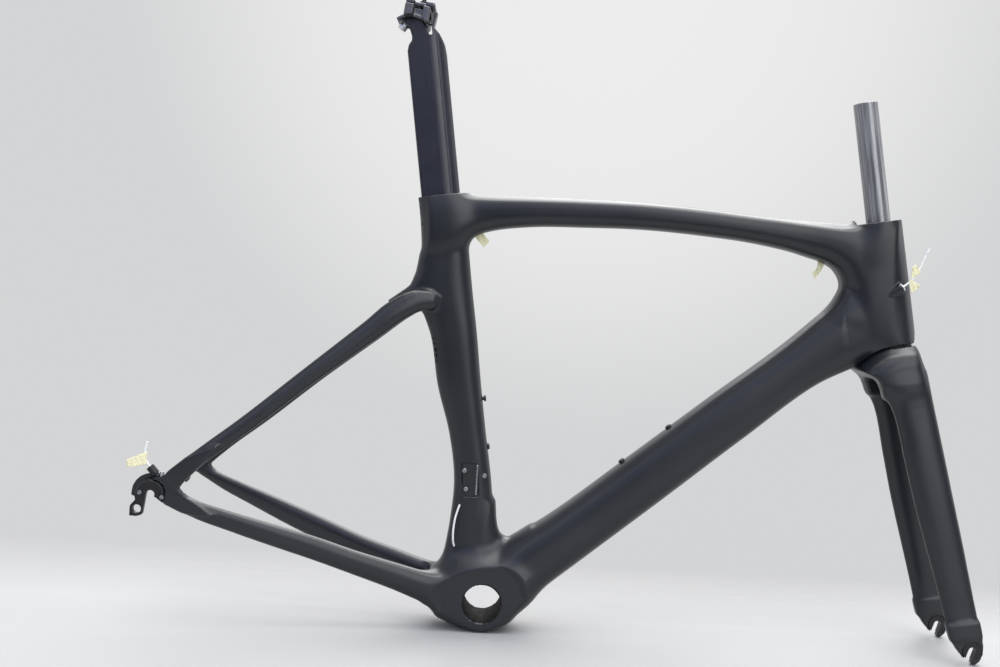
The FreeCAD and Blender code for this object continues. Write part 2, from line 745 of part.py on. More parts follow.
def post_head():
    """Head of the post: a waisted neck that flares to a drum for the clamp to tilt on."""
    drum = rod(clamp(0, 0), AXIS_Y, ARC_R, -HEAD_HALF, HEAD_HALF)
    body = prism([seat(p, s) for p, s in POST_FLANK], -HEAD_HALF, HEAD_HALF)
    above = seat_box(-60, 60, TILT[1], TILT[1] + 70, 50)
    return body.cut(above).fuse(body.common(drum))


def seatpost():
    shaft = post_prism(-POST_INSERTION, POST_SHOULDER)
    inner = post_prism(-POST_INSERTION - 1, POST_SHOULDER - POST_CAP, -POST_WALL)
    body = shaft.cut(inner).fuse(post_head())
    for swing in ADJUSTER_SWINGS:
        room = adjuster_barrel(ADJUSTER_R + ADJUSTER_ROOM, -6, ADJUSTER_LENGTH + 3)
        room.rotate(clamp(0, 0), AXIS_Y, swing)
        body = body.cut(room)
    return largest(body)


def arc_plate():
    """The curved plate that rocks on the drum of the post's head."""
    inner_r = ARC_R + FIT_GAP
    outer = ring(clamp(0, 0), AXIS_Y, inner_r + PLATE, inner_r, -PLATE_HALF, PLATE_HALF)
    reach = 60.0
    steps = 6
    fan = [clamp(0, 0)]
    for i in range(steps + 1):
        angle = PLATE_START + (PLATE_END - PLATE_START) * i / steps
        fan.append(clamp(reach * math.cos(angle), reach * math.sin(angle)))
    return outer.common(prism(fan, -PLATE_HALF - 4, PLATE_HALF + 4))


RAIL_R = 3.5
RAIL_Y = 22.0
RAIL_Z = 36.5
CLAMP_HALF = 28.0


def lobe(x0, x1, z0, z1):
    box = Part.makeBox(x1 - x0, 2 * CLAMP_HALF, z1 - z0, clamp(x0, z0, -CLAMP_HALF))
    upright = [e for e in box.Edges if abs(e.tangentAt(e.FirstParameter).y) > 0.9]
    return box.makeFillet(2.2, upright)


def rails(x0=-40.0, x1=60.0):
    left = rod(clamp(0, RAIL_Z, RAIL_Y), Vector(1, 0, 0), RAIL_R, x0, x1)
    right = rod(clamp(0, RAIL_Z, -RAIL_Y), Vector(1, 0, 0), RAIL_R, x0, x1)
    return left.fuse(right)


CENTRE_BOLT_X = 7.7
SPLIT_BOTTOM = 36.4                 # the two halves of the clamp stop short of each other
SPLIT_TOP = 36.6
# lobes over each rail, as start x, end x, bottom z, top z
LOWER_REAR_LOBE = (-11, -0.5, 20, SPLIT_BOTTOM)
LOWER_FRONT_LOBE = (10.5, 19.5, 17, SPLIT_BOTTOM)
UPPER_REAR_LOBE = (-11, -0.8, SPLIT_TOP, 42)
UPPER_FRONT_LOBE = (13, 23.8, SPLIT_TOP, 41.5)
UP = Vector(0, 0, 1)


def centre_bolt_hole():
    return rod(clamp(CENTRE_BOLT_X, 0), UP, 2.6, 10, 60)


def lower_cradle():
    """Plate that rocks on the post's drum, with two lobes grooved for the saddle rails."""
    drum = rod(clamp(0, 0), AXIS_Y, ARC_R + FIT_GAP, -40, 40)
    bridge = Part.makeBox(12, 30, 14, clamp(-1, 20, -15))
    blocks = lobe(*LOWER_REAR_LOBE).fuse(lobe(*LOWER_FRONT_LOBE)).fuse(bridge)
    body = arc_plate().fuse(blocks.cut(drum))
    return body.cut(rails()).cut(centre_bolt_hole()).removeSplitter()


def upper_clamp():
    """Plate that closes over the saddle rails."""
    bridge = Part.makeBox(15, 34, 4.4, clamp(-1.5, SPLIT_TOP, -17))
    body = lobe(*UPPER_REAR_LOBE).fuse(lobe(*UPPER_FRONT_LOBE)).fuse(bridge)
    return body.cut(rails()).cut(centre_bolt_hole()).removeSplitter()


def clamp_bolts():
    """Centre bolt through both clamps, rear adjuster and front nut."""
    foot = clamp(CENTRE_BOLT_X, 0)
    centre = rod(foot, UP, 2.5, 27, 50).fuse(rod(foot, UP, 4.5, 41.0, 45.5))
    nut = rod(clamp(19.5, 24.5), Vector(1, 0, 0), 5.2, 0, 5)
    return centre, nut


def rear_adjuster():
    """Barrel adjuster under the rear of the plate."""
    under_plate = rod(clamp(0, 0), AXIS_Y, ARC_R + FIT_GAP, -40, 40)
    barrel = adjuster_barrel(ADJUSTER_R, 0, ADJUSTER_LENGTH).common(under_plate)
    return barrel.cut(adjuster_barrel(ADJUSTER_SOCKET_R, ADJUSTER_LENGTH - 4, ADJUSTER_LENGTH + 1))


# ---- cords: cable liners ------------------------------------------------------------------
LINER_R = 1.2
LINER_HOLE_R = 1.6
LINER_EXIT_R = 2.4                  # the wider mouth where the liner leaves the seat tube
PORT_BORE_BACK = 16.0
PORT_BORE_AHEAD = 2.0
# routes as x, z, y, as the side view gives them
BB_LINER = [
    (-39, 50, -9), (-46, 58, -17), (-49.5, 70, -20.6), (-51, 84, -21.6), (-51, 98, -21.4),
    (-48.6, 111, -20.6),
]
HEAD_LINER = [
    (421.0, 470.6, -27.4), (428.6, 478.2, -27.8), (434.0, 487.4, -27.2), (437.4, 499.0, -26.4),
    (440.2, 511.0, -26.0), (443.4, 522.4, -25.6),
]
REAR_LINER = [
    (-409.8, 92.1, -66.5), (-415.9, 97.0, -66.5), (-420.0, 104.6, -66.5), (-421.4, 113.6, -66.5),
    (-419.8, 122.0, -66.5),
]


def liner(name, route):
    """A tube of straight runs and tangent arcs, each arc as large as its runs allow."""
    points = [side(*p) for p in route]
    edges = []
    start = points[0]
    for i in range(1, len(points) - 1):
        back, ahead = points[i - 1] - points[i], points[i + 1] - points[i]
        shorter = min(back.Length, ahead.Length)
        turn = math.pi - back.getAngle(ahead)
        trim = 0.45 * shorter
        print(name, "radius", round(trim / math.tan(turn / 2), 1))
        back.normalize()
        ahead.normalize()
        enter, leave = points[i] + back * trim, points[i] + ahead * trim
        bulge = trim / math.tan(turn / 2)
        inward = back + ahead
        inward.normalize()
        middle = points[i] + inward * (bulge / math.cos(turn / 2) - bulge)
        edges.append(Part.LineSegment(start, enter).toShape())
        edges.append(Part.Arc(enter, middle, leave).toShape())
        start = leave
    edges.append(Part.LineSegment(start, points[-1]).toShape())
    path = Part.Wire(edges)
    ring_wire = Part.Wire(Part.makeCircle(LINER_R, points[0], points[1] - points[0]))
    tube_solid = path.makePipeShell([ring_wire], True, False)
    expected = math.pi * LINER_R ** 2 * path.Length
    print(name, "length", round(path.Length, 1), "volume ratio", round(tube_solid.Volume / expected, 3))
    return tube_solid


def first_run(route):
    """Where a liner starts and the way it sets off."""
    start = side(*route[0])
    way = side(*route[1]) - start
    way.normalize()
    return start, way


def first_run_hole(route, radius, back, ahead):
    """A drilled hole along a liner's first run."""
    start, way = first_run(route)
    return rod(start, way, radius, -back, ahead)


def bent_hole(route, radius, back):
    """The room that a liner's first two runs need where they leave the frame."""
    bend = side(*route[1])
    after = side(*route[2]) - bend
    length = after.Length
    after.normalize()
    reach = (bend - side(*route[0])).Length
    hole = first_run_hole(route, radius, back, reach)
    return hole.fuse(Part.makeSphere(radius, bend)).fuse(rod(bend, after, radius, 0, length))


PORT_REAR = side(396, 447, -22.5)
PORT_R = 6.5
PORT_TIP_R = 1.0
PORT_STOP_R = 4.8
PORT_STOP_HEIGHT = 1.3
PORT_STOP_BORE_R = 1.25


def head_cable_port(trims):
    """Cowl on the head tube's right flank, open to the front, where the cable goes in."""
    start, along = first_run(HEAD_LINER)
    way = start - along * PORT_STOP_HEIGHT - PORT_REAR
    body = Part.makeCone(PORT_TIP_R, PORT_R, way.Length, PORT_REAR, way)
    for trim in trims:
        body = body.cut(trim)
    return largest(body)


def port_bore():
    """The drilled hole that the liner leaves by."""
    return first_run_hole(HEAD_LINER, LINER_HOLE_R, PORT_BORE_BACK, PORT_BORE_AHEAD)


def port_stop():
    """Flanged plastic stop that the liner comes out of."""
    flange = first_run_hole(HEAD_LINER, PORT_STOP_R, PORT_STOP_HEIGHT, 0)
    return flange.cut(first_run_hole(HEAD_LINER, PORT_STOP_BORE_R, 3, 3))


def port_stop_room():
    """The pocket that the stop sits in, open along the liner."""
    return first_run_hole(HEAD_LINER, PORT_STOP_R, PORT_STOP_HEIGHT, 6)


TAPE = 0.3
HEAD_FLAG_Y = -29.5
REAR_FLAG_Y = -68.1
HEAD_FLAGS = [
    [(427.7, 482.2), (426.4, 495.8), (429.9, 499.2), (436.9, 493.1), (437.4, 489.7)],
    [(426.5, 478.2), (431.5, 464.6), (437.3, 470.2), (440.2, 476.3), (435.9, 477.8), (428.4, 480.5)],
]
REAR_FLAG = [(-441, 97), (-418, 111), (-416, 96), (-438, 88)]
TOP_TUBE_FLAGS = [
    [(-95, 433.5), (-86, 440), (-74.5, 430), (-80, 421.5)],
    [(322, 483.5), (331, 482), (328, 472), (323, 462), (318, 467), (323, 475)],
]


def flag(points, y, trims=()):
    """A scrap of masking tape, flat in side view, cut off where it meets a tube."""
    scrap = prism([side(x, z) for x, z in points], y, y + TAPE)
    for trim in trims:
        scrap = scrap.cut(trim)
    return largest(scrap)


# ---- seatpost clamp -----------------------------------------------------------------------
WEDGE_FRONT = 33.0
WEDGE_LOW = -30.0
WEDGE_HIGH = -8.0
WEDGE_HALF = 9.0
WEDGE_BOLT_P = 28.8
WEDGE_BOLT_R = 2.5
WEDGE_HEAD_S = -5.5                 # underside of the bolt's head
WEDGE_HEAD_R = 4.2
WEDGE_HEAD_H = 4.5
WEDGE_SOCKET_R = 2.0
WEDGE_SOCKET_DEPTH = 3.0


def on_wedge_bolt(radius, low, high):
    """A cylinder on the wedge bolt's axis, from low to high along the seat tube."""
    return rod(seat(WEDGE_BOLT_P, 0), SEAT_UP, radius, low, high)


def clamp_wedge():
    """Wedge in front of the post that is drawn up to grip it."""
    block = seat_box(10, WEDGE_FRONT, WEDGE_LOW, WEDGE_HIGH, WEDGE_HALF)
    block = block.cut(post_prism(WEDGE_LOW - 5, WEDGE_HIGH + 5, POST_CLEARANCE))
    return largest(block.cut(on_wedge_bolt(WEDGE_BOLT_R, WEDGE_LOW - 10, 0)))


def wedge_bolt():
    crest = WEDGE_HEAD_S + WEDGE_HEAD_H
    shank = on_wedge_bolt(WEDGE_BOLT_R, WEDGE_LOW + 2, WEDGE_HEAD_S)
    head = on_wedge_bolt(WEDGE_HEAD_R, WEDGE_HEAD_S, crest)
    return shank.fuse(head).cut(on_wedge_bolt(WEDGE_SOCKET_R, crest - WEDGE_SOCKET_DEPTH, crest + 1))


def wedge_room():
    """Everything cut from the seat and top tubes for the wedge and its bolt."""
    room = seat_box(10, WEDGE_FRONT, WEDGE_LOW, WEDGE_HIGH, WEDGE_HALF)
    shank = on_wedge_bolt(WEDGE_BOLT_R, WEDGE_HIGH - 1, WEDGE_HEAD_S)
    return room.fuse(shank).fuse(on_wedge_bolt(WEDGE_HEAD_R, WEDGE_HEAD_S, 30))


# ---- bottom bracket cable guide -----------------------------------------------------------
GUIDE_HALF = 14.0
GUIDE_THICKNESS = 1.8
SCREW_R = 2.0
SCREW_HEAD_R = 3.6
SCREW_HEAD_H = 1.4
SCREW_TIP_GAP = 0.2
DOWNWARD = Vector(0, 0, -1)


def cable_guide():
    """Plastic guide under the bottom bracket for the two gear cables."""
    band = ring(side(0, 0), AXIS_Y, BB_OUTER_R + GUIDE_THICKNESS, BB_OUTER_R, -GUIDE_HALF, GUIDE_HALF)
    low = prism([side(-9, -20), side(9, -20), side(9, -50), side(-9, -50)], -20, 20)
    return band.common(low).cut(guide_screw_hole())


def guide_screw_hole():
    return rod(side(0, 0), DOWNWARD, SCREW_R, BB_BORE_R - 2, BB_OUTER_R + 6)


def guide_screw():
    """Screw up into the shell, its tip just short of the bore."""
    seat_r = BB_OUTER_R + GUIDE_THICKNESS
    shank = rod(side(0, 0), DOWNWARD, SCREW_R, BB_BORE_R + SCREW_TIP_GAP, seat_r)
    return shank.fuse(rod(side(0, 0), DOWNWARD, SCREW_HEAD_R, seat_r, seat_r + SCREW_HEAD_H))


def save_main_tubes(bracket, head_solid):
    """The head, down, seat and top tubes. Returns the outer shapes that other parts are cut by."""
    room = wedge_room()
    liner_room = bent_hole(BB_LINER, LINER_EXIT_R, 3)
    down_outer, down = down_tube(head_solid, bracket)
    seat_outer, seat_hollow = seat_tube(bracket, down_outer)
    top_outer, top = top_tube(head_solid, seat_outer, down_outer)
    seat_hollow = seat_hollow.cut(room).cut(mount_block(-40)).cut(liner_room)
    for hole in boss_holes(SEAT_BOSSES, SEAT_BOSS_WAY) + mount_bolt_holes():
        seat_hollow = seat_hollow.cut(hole)
    for hole in boss_holes(DOWN_BOSSES, DOWN_BOSS_WAY):
        down = down.cut(hole)
    head = head_tube()
    for hole in (port_bore(), port_stop_room()):
        head = head.cut(hole)
    save("head_tube", head)
    save("down_tube", largest(down))
    save("seat_tube", largest(seat_hollow))
    save("top_tube", largest(top.cut(room)))
    return down_outer, seat_outer, top_outer


def save_bracket(bracket):
    bore = rod(side(0, 0), AXIS_Y, BB_BORE_R, -BB_WIDTH, BB_WIDTH)
    save("bottom_bracket_shell", bracket.cut(bore).cut(guide_screw_hole()))
    save("bb_cable_guide", cable_guide())
    save("bb_guide_screw", guide_screw())


def save_rear_end(bracket, down_outer, seat_outer):
    """Stays, dropouts, hanger and the cable stop."""
    liner_room = bent_hole(BB_LINER, LINER_EXIT_R, 3)
    rear_hanger = hanger()
    stop = cable_stop()
    stop_bore = rod(STOP_BASE, STOP_DIRECTION, LINER_HOLE_R, -6, 2)
    dropouts = {-1: largest(right_dropout(rear_hanger).cut(stop).cut(stop_bore)), 1: left_dropout()}
    for sign, name in ((-1, "right"), (1, "left")):
        trims = [bracket, seat_outer, down_outer, dropouts[sign]]
        save(name + "_chain_stay", chain_stay(sign, trims).cut(liner_room))
        save(name + "_seat_stay", seat_stay(sign, trims))
        save(name + "_rear_dropout", dropouts[sign])
    save("derailleur_hanger", rear_hanger)
    save("hanger_bolts", *hanger_bolts())
    save("rear_cable_stop", stop)
    save("rear_cable_ferrule", cable_ferrule([stop, dropouts[-1]]))


def save_fittings(head_solid, down_outer, seat_outer, top_outer):
    """Bolts, mounts, ports, liners and scraps of tape on the frame."""
    save("seat_tube_bottle_bolts", *bottle_bolts(SEAT_BOSSES, SEAT_BOSS_WAY))
    save("down_tube_bottle_bolts", *bottle_bolts(DOWN_BOSSES, DOWN_BOSS_WAY))
    save("front_derailleur_mount", front_derailleur_mount())
    save("derailleur_mount_bolts", *mount_bolts())
    save("seatpost_clamp_wedge", clamp_wedge())
    save("seatpost_clamp_bolt", wedge_bolt())
    port_trims = [head_solid, top_outer, down_outer, port_bore(), port_stop_room()]
    save("head_cable_port", head_cable_port(port_trims))
    save("cable_port_stop", port_stop())
    save("head_cable_liner", liner("head liner", HEAD_LINER))
    save("bb_cable_liner", liner("bb liner", BB_LINER))
    save("rear_cable_liner", liner("rear liner", REAR_LINER))
    save("head_tape_tab", *[flag(points, HEAD_FLAG_Y) for points in HEAD_FLAGS])
    save("rear_tape_tab", flag(REAR_FLAG, REAR_FLAG_Y))
    tubes = (top_outer, seat_outer)
    save("top_tube_tape_tabs", *[flag(points, -TAPE / 2, tubes) for points in TOP_TUBE_FLAGS])


def save_fork():
    for sign, name in ((-1, "right"), (1, "left")):
        save(name + "_fork_blade", fork_blade(sign))
        save(name + "_fork_dropout", fork_dropout(sign))
    save("fork_crown", fork_crown())
    save("steerer_tube", steerer())
    save("compression_ring", compression_ring())
    save("crown_race", crown_race())
    save("upper_bearing", bearing(UPPER_BEARING_R, UPPER_BORE_R, UPPER_SEAT_V, UPPER_BEARING_H))
    lower_start = LOWER_SEAT_V - LOWER_BEARING_H
    save("lower_bearing", bearing(LOWER_BEARING_R, LOWER_BORE_R, lower_start, LOWER_BEARING_H))


def save_post_and_clamp():
    save("seatpost", seatpost())
    save("saddle_cradle", lower_cradle())
    save("saddle_top_clamp", upper_clamp())
    centre, nut = clamp_bolts()
    save("saddle_centre_bolt", centre)
    save("saddle_front_nut", nut)
    save("saddle_rear_adjuster", rear_adjuster())


def main():
    os.makedirs("parts", exist_ok=True)
    bracket = bb_shell()
    head_solid = head_outer()
    down_outer, seat_outer, top_outer = save_main_tubes(bracket, head_solid)
    save_bracket(bracket)
    save_rear_end(bracket, down_outer, seat_outer)
    save_fittings(head_solid, down_outer, seat_outer, top_outer)
    save_fork()
    save_post_and_clamp()


main()
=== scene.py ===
"""Looks of the bicycle frame: moulded carbon skins, fittings, finishes, studio and camera.

Working units are millimetres in the row frame. Meshes are scaled to metres when they are made.
"""

import json
import math

import bpy
import numpy as np
from mathutils import Matrix, Vector

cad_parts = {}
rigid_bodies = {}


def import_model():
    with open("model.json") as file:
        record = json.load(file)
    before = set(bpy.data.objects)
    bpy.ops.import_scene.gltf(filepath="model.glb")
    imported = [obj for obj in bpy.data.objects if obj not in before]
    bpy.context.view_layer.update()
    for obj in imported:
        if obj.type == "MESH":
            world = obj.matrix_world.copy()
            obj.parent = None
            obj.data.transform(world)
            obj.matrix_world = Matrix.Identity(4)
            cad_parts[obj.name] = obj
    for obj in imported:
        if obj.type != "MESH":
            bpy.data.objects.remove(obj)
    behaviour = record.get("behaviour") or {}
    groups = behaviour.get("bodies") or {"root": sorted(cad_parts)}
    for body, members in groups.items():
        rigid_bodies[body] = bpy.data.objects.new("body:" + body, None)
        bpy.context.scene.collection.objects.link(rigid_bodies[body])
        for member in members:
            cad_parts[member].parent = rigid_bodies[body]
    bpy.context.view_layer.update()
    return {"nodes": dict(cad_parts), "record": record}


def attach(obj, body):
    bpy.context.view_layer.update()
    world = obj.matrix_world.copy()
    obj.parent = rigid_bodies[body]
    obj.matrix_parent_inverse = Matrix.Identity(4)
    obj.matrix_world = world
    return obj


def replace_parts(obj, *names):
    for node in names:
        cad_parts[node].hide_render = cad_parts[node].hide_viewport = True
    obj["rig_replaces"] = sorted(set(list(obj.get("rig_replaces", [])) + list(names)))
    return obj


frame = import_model()
MM = 0.001
coarse_scale = 1.1


def add_object(name, data):
    made = bpy.data.objects.new(name, data)
    bpy.context.scene.collection.objects.link(made)
    return made


# ---- the frame's own axes ------------------------------------------------------------------
HEAD_ANGLE = math.radians(72.0)
SEAT_ANGLE = math.radians(73.6)
AXIS_Y = np.array([0.0, 1.0, 0.0])
HEAD_DATUM = np.array([381.5, 0.0, 553.0])
HEAD_AHEAD = np.array([math.sin(HEAD_ANGLE), 0.0, math.cos(HEAD_ANGLE)])
HEAD_UP = np.array([-math.cos(HEAD_ANGLE), 0.0, math.sin(HEAD_ANGLE)])
SEAT_TOP = np.array([-143.0, 0.0, 473.0])
SEAT_AHEAD = np.array([math.sin(SEAT_ANGLE), 0.0, math.cos(SEAT_ANGLE)])
SEAT_UP = np.array([-math.cos(SEAT_ANGLE), 0.0, math.sin(SEAT_ANGLE)])
TILT = (-18.5, 191.4)
TILT_POINT = SEAT_TOP + SEAT_AHEAD * TILT[0] + SEAT_UP * TILT[1]


def steer_coords(x, z):
    """u ahead of the steering axis and v down it."""
    dx, dz = x - HEAD_DATUM[0], z - HEAD_DATUM[2]
    return dx * HEAD_AHEAD[0] + dz * HEAD_AHEAD[2], -(dx * HEAD_UP[0] + dz * HEAD_UP[2])


def seat_coords(x, z):
    """p ahead of the seat tube's axis and s up from its top."""
    dx, dz = x - SEAT_TOP[0], z - SEAT_TOP[2]
    return dx * SEAT_AHEAD[0] + dz * SEAT_AHEAD[2], dx * SEAT_UP[0] + dz * SEAT_UP[2]


# ---- camera --------------------------------------------------------------------------------
def make_camera():
    yaw, pitch, roll = (math.radians(a) for a in (-0.567, 2.278, 11.095))
    cy, sy, cp, sp, cr, sr = (math.cos(yaw), math.sin(yaw), math.cos(pitch), math.sin(pitch),
                              math.cos(roll), math.sin(roll))
    ahead = np.array([-sy * cp, cy * cp, -sp])
    right = np.array([cy, sy, 0.0])
    up = np.cross(right, ahead)
    right, up = cr * right + sr * up, -sr * right + cr * up
    data = bpy.data.cameras.new("camera")
    data.sensor_width = 36.0
    data.lens = 42.15
    data.clip_start, data.clip_end = 0.05, 60.0
    camera = add_object("camera", data)
    matrix = Matrix.Identity(4)
    for row in range(3):
        matrix[row][0], matrix[row][1], matrix[row][2] = right[row], up[row], -ahead[row]
    matrix[0][3], matrix[1][3], matrix[2][3] = -0.05459, -1.42621, 0.37916
    camera.matrix_world = matrix
    bpy.context.scene.camera = camera


make_camera()


# ---- finishes ------------------------------------------------------------------------------
class Finish:
    """A procedural material, with shorthand for its nodes."""

    def __init__(self, name, color, roughness, metallic=0.0, specular=0.5):
        self.material = bpy.data.materials.new(name)
        self.material.use_nodes = True
        self.tree = self.material.node_tree
        self.shader = self.tree.nodes["Principled BSDF"]
        self.set("Base Color", (*color, 1.0))
        self.set("Roughness", roughness)
        self.set("Metallic", metallic)
        self.set("Specular IOR Level", specular)
        self.material.diffuse_color = (*color, 1.0)
        self.coords = self.node("ShaderNodeTexCoord")

    def set(self, socket, value):
        self.shader.inputs[socket].default_value = value

    def node(self, kind, **values):
        made = self.tree.nodes.new(kind)
        for key, value in values.items():
            if key in made.inputs:
                made.inputs[key].default_value = value
            else:
                setattr(made, key, value)
        return made

    def link(self, a, b):
        self.tree.links.new(a, b)

    def noise(self, scale, detail=3.0, stretch=None, turn=0.0):
        """Noise in the row frame, in cells per metre, stretched along an axis turned about Y."""
        texture = self.node("ShaderNodeTexNoise", Scale=scale, Detail=detail)
        source = self.coords.outputs["Object"]
        if stretch is not None:
            rotate = self.node("ShaderNodeVectorRotate", rotation_type="Y_AXIS", Angle=turn)
            self.link(source, rotate.inputs["Vector"])
            spread = self.node("ShaderNodeVectorMath", operation="MULTIPLY")
            spread.inputs[1].default_value = stretch
            self.link(rotate.outputs["Vector"], spread.inputs[0])
            source = spread.outputs["Vector"]
        self.link(source, texture.inputs["Vector"])
        return texture.outputs["Fac"]

    def span(self, value, low, high, start=0.3, end=0.7):
        spread = self.node("ShaderNodeMapRange")
        for socket, number in (("From Min", start), ("From Max", end), ("To Min", low), ("To Max", high)):
            spread.inputs[socket].default_value = number
        self.link(value, spread.inputs["Value"])
        return spread.outputs["Result"]

    def vary_roughness(self, value, low, high):
        self.link(self.span(value, low, high), self.shader.inputs["Roughness"])

    def vary_color(self, value, first, second, start=0.3, end=0.7):
        mix = self.node("ShaderNodeMix", data_type="RGBA")
        self.link(self.span(value, 0.0, 1.0, start, end), mix.inputs["Factor"])
        for socket in mix.inputs:
            if socket.type == "RGBA":
                socket.default_value = (*(first if socket.name == "A" else second), 1.0)
        output = [socket for socket in mix.outputs if socket.type == "RGBA"][0]
        self.link(output, self.shader.inputs["Base Color"])

    def bump(self, value, distance, strength=1.0, bevel=None):
        made = self.node("ShaderNodeBump", Distance=distance, Strength=strength)
        self.link(value, made.inputs["Height"])
        if bevel is not None:
            rounding = self.node("ShaderNodeBevel", samples=6, Radius=bevel)
            self.link(rounding.outputs["Normal"], made.inputs["Normal"])
        self.link(made.outputs["Normal"], self.shader.inputs["Normal"])
        return self


def carbon_finish():
    """Matt lacquer over carbon: near black, a faint cloudiness and a very fine orange peel."""
    made = Finish("matt_carbon", (0.010, 0.0125, 0.016), 0.38, specular=0.5)
    made.vary_roughness(made.noise(34.0, 4.0), 0.29, 0.34)
    made.vary_color(made.noise(9.0, 2.0), (0.0085, 0.0105, 0.0135), (0.0115, 0.014, 0.0175))
    return made.bump(made.noise(1500.0, 2.0), 0.00002, 0.12)


def post_finish():
    """Satin carbon streaked along its fibres, with a painted violet tint: the cool light that falls on the
    tail of the post, spread here over the whole post.
    """
    made = Finish("satin_post", (0.012, 0.012, 0.018), 0.3, specular=0.6)
    made.vary_roughness(made.noise(40.0, 4.0), 0.27, 0.34)
    fibres = made.noise(60.0, 4.0, (9.0, 9.0, 0.6), math.pi / 2 - SEAT_ANGLE)
    # both colours carry the painted violet tint of the cool light; the streaks between them are fibre grain
    made.vary_color(fibres, (0.011, 0.012, 0.02), (0.018, 0.019, 0.031))
    return made.bump(made.noise(1500.0, 2.0), 0.00003, 0.3)


def steerer_finish():
    """Bare unidirectional carbon: glossy, streaked along the tube."""
    made = Finish("bare_carbon", (0.2, 0.205, 0.215), 0.25, 0.45, specular=0.6)
    streaks = made.noise(26.0, 6.0, (16.0, 16.0, 0.5), math.pi / 2 - HEAD_ANGLE)
    made.vary_color(streaks, (0.15, 0.154, 0.162), (0.40, 0.405, 0.415))
    made.vary_roughness(streaks, 0.2, 0.36)
    return made.bump(streaks, 0.0001, 0.35)


def metal_finish(name, dark, light, roughness, metallic, grain):
    """Fine speckle and grain, with the edges rounded off by a bevel in the normals."""
    made = Finish(name, light, roughness, metallic)
    made.vary_color(made.noise(grain, 4.0), dark, light)
    made.vary_roughness(made.noise(grain * 0.3, 3.0), roughness * 0.85, roughness * 1.2)
    return made.bump(made.noise(grain * 2.0, 2.0), 0.00003, 0.4, bevel=0.0003)


def liner_finish():
    made = Finish("nylon_liner", (0.83, 0.85, 0.84), 0.38)
    made.set("Subsurface Weight", 0.25)
    made.set("Subsurface Radius", (0.002, 0.002, 0.002))
    made.vary_color(made.noise(220.0, 3.0), (0.78, 0.80, 0.79), (0.88, 0.90, 0.88))
    return made.bump(made.noise(900.0, 2.0), 0.00003, 0.3)


def tape_finish():
    """Crepe masking tape: pale yellow, finely wrinkled across."""
    made = Finish("crepe_tape", (0.83, 0.80, 0.50), 0.72, specular=0.3)
    wrinkles = made.noise(320.0, 4.0, (1.0, 1.0, 4.0), 0.4)
    made.vary_color(wrinkles, (0.78, 0.74, 0.44), (0.89, 0.86, 0.60))
    return made.bump(wrinkles, 0.0002, 0.7)


def bore_shade_finish():
    """Painted shade inside the bottom bracket: a darker, duller black than the frame's carbon, standing in
    for the shade in the bore.
    """
    made = Finish("bore_painted_shade", (0.004, 0.004, 0.0045), 0.75, specular=0.12)
    made.vary_roughness(made.noise(120.0, 3.0), 0.65, 0.85)
    made.vary_color(made.noise(60.0, 3.0), (0.003, 0.003, 0.0035), (0.006, 0.006, 0.0065))
    return made.bump(made.noise(500.0, 2.0), 0.00004, 0.4)


# dark and light colour, roughness, metallic, grain in cells per metre
METALS = {
    "race_black": ((0.01, 0.01, 0.011), (0.02, 0.02, 0.022), 0.45, 0.2, 700.0),
    "worn_steel": ((0.18, 0.18, 0.19), (0.42, 0.42, 0.44), 0.28, 0.9, 600.0),
    "black_alloy": ((0.012, 0.012, 0.013), (0.03, 0.03, 0.032), 0.34, 0.55, 900.0),
    "bolt_steel": ((0.022, 0.022, 0.024), (0.06, 0.06, 0.064), 0.3, 0.8, 700.0),
    "silver_alloy": ((0.52, 0.52, 0.54), (0.74, 0.74, 0.76), 0.27, 0.95, 800.0),
    "clamp_alloy": ((0.085, 0.087, 0.095), (0.16, 0.165, 0.175), 0.36, 0.85, 900.0),
    "guide_plastic": ((0.02, 0.02, 0.02), (0.035, 0.035, 0.035), 0.5, 0.0, 500.0),
}
FINISHES = {
    "bore_painted_shade": bore_shade_finish(), "carbon": carbon_finish(), "post_carbon": post_finish(),
    "steerer_carbon": steerer_finish(), "liner_plastic": liner_finish(), "masking_tape": tape_finish(),
}
FINISHES.update({name: metal_finish(name, *values) for name, values in METALS.items()})


# ---- pieces --------------------------------------------------------------------------------
def make_piece(name, points_mm, faces, body, slot, nodes=(), normals=None, finish=None):
    """A mesh piece in metres that rides on a body and stands for the CAD nodes named."""
    mesh = bpy.data.meshes.new(name)
    points = np.asarray(points_mm, float) * MM
    mesh.from_pydata(points.tolist(), [], [list(map(int, face)) for face in faces])
    mesh.polygons.foreach_set("use_smooth", [True] * len(mesh.polygons))
    if normals is not None:
        mesh.normals_split_custom_set_from_vertices(np.asarray(normals, float).tolist())
    mesh.materials.append(FINISHES[finish or slot].material)
    made = add_object(name, mesh)
    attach(made, body)
    if nodes:
        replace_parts(made, *nodes)
    return made


def liner(name, route_mm, node):
    """A free liner: an open curve through the same control points as its CAD solid."""
    curve = bpy.data.curves.new(name, "CURVE")
    curve.dimensions = "3D"
    curve.bevel_depth = 1.2 * MM
    curve.bevel_resolution = 5
    curve.resolution_u = 16
    curve.use_fill_caps = True
    spline = curve.splines.new("NURBS")
    spline.points.add(len(route_mm) - 1)
    for point, (x, z, y) in zip(spline.points, route_mm):
        point.co = (x * MM, y * MM, z * MM, 1.0)
    spline.order_u = 3
    spline.use_endpoint_u = True
    curve.materials.append(FINISHES["liner_plastic"].material)
    made = add_object(name, curve)
    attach(made, "frame")
    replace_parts(made, node)
    x, z, y = route_mm[0]
    return made


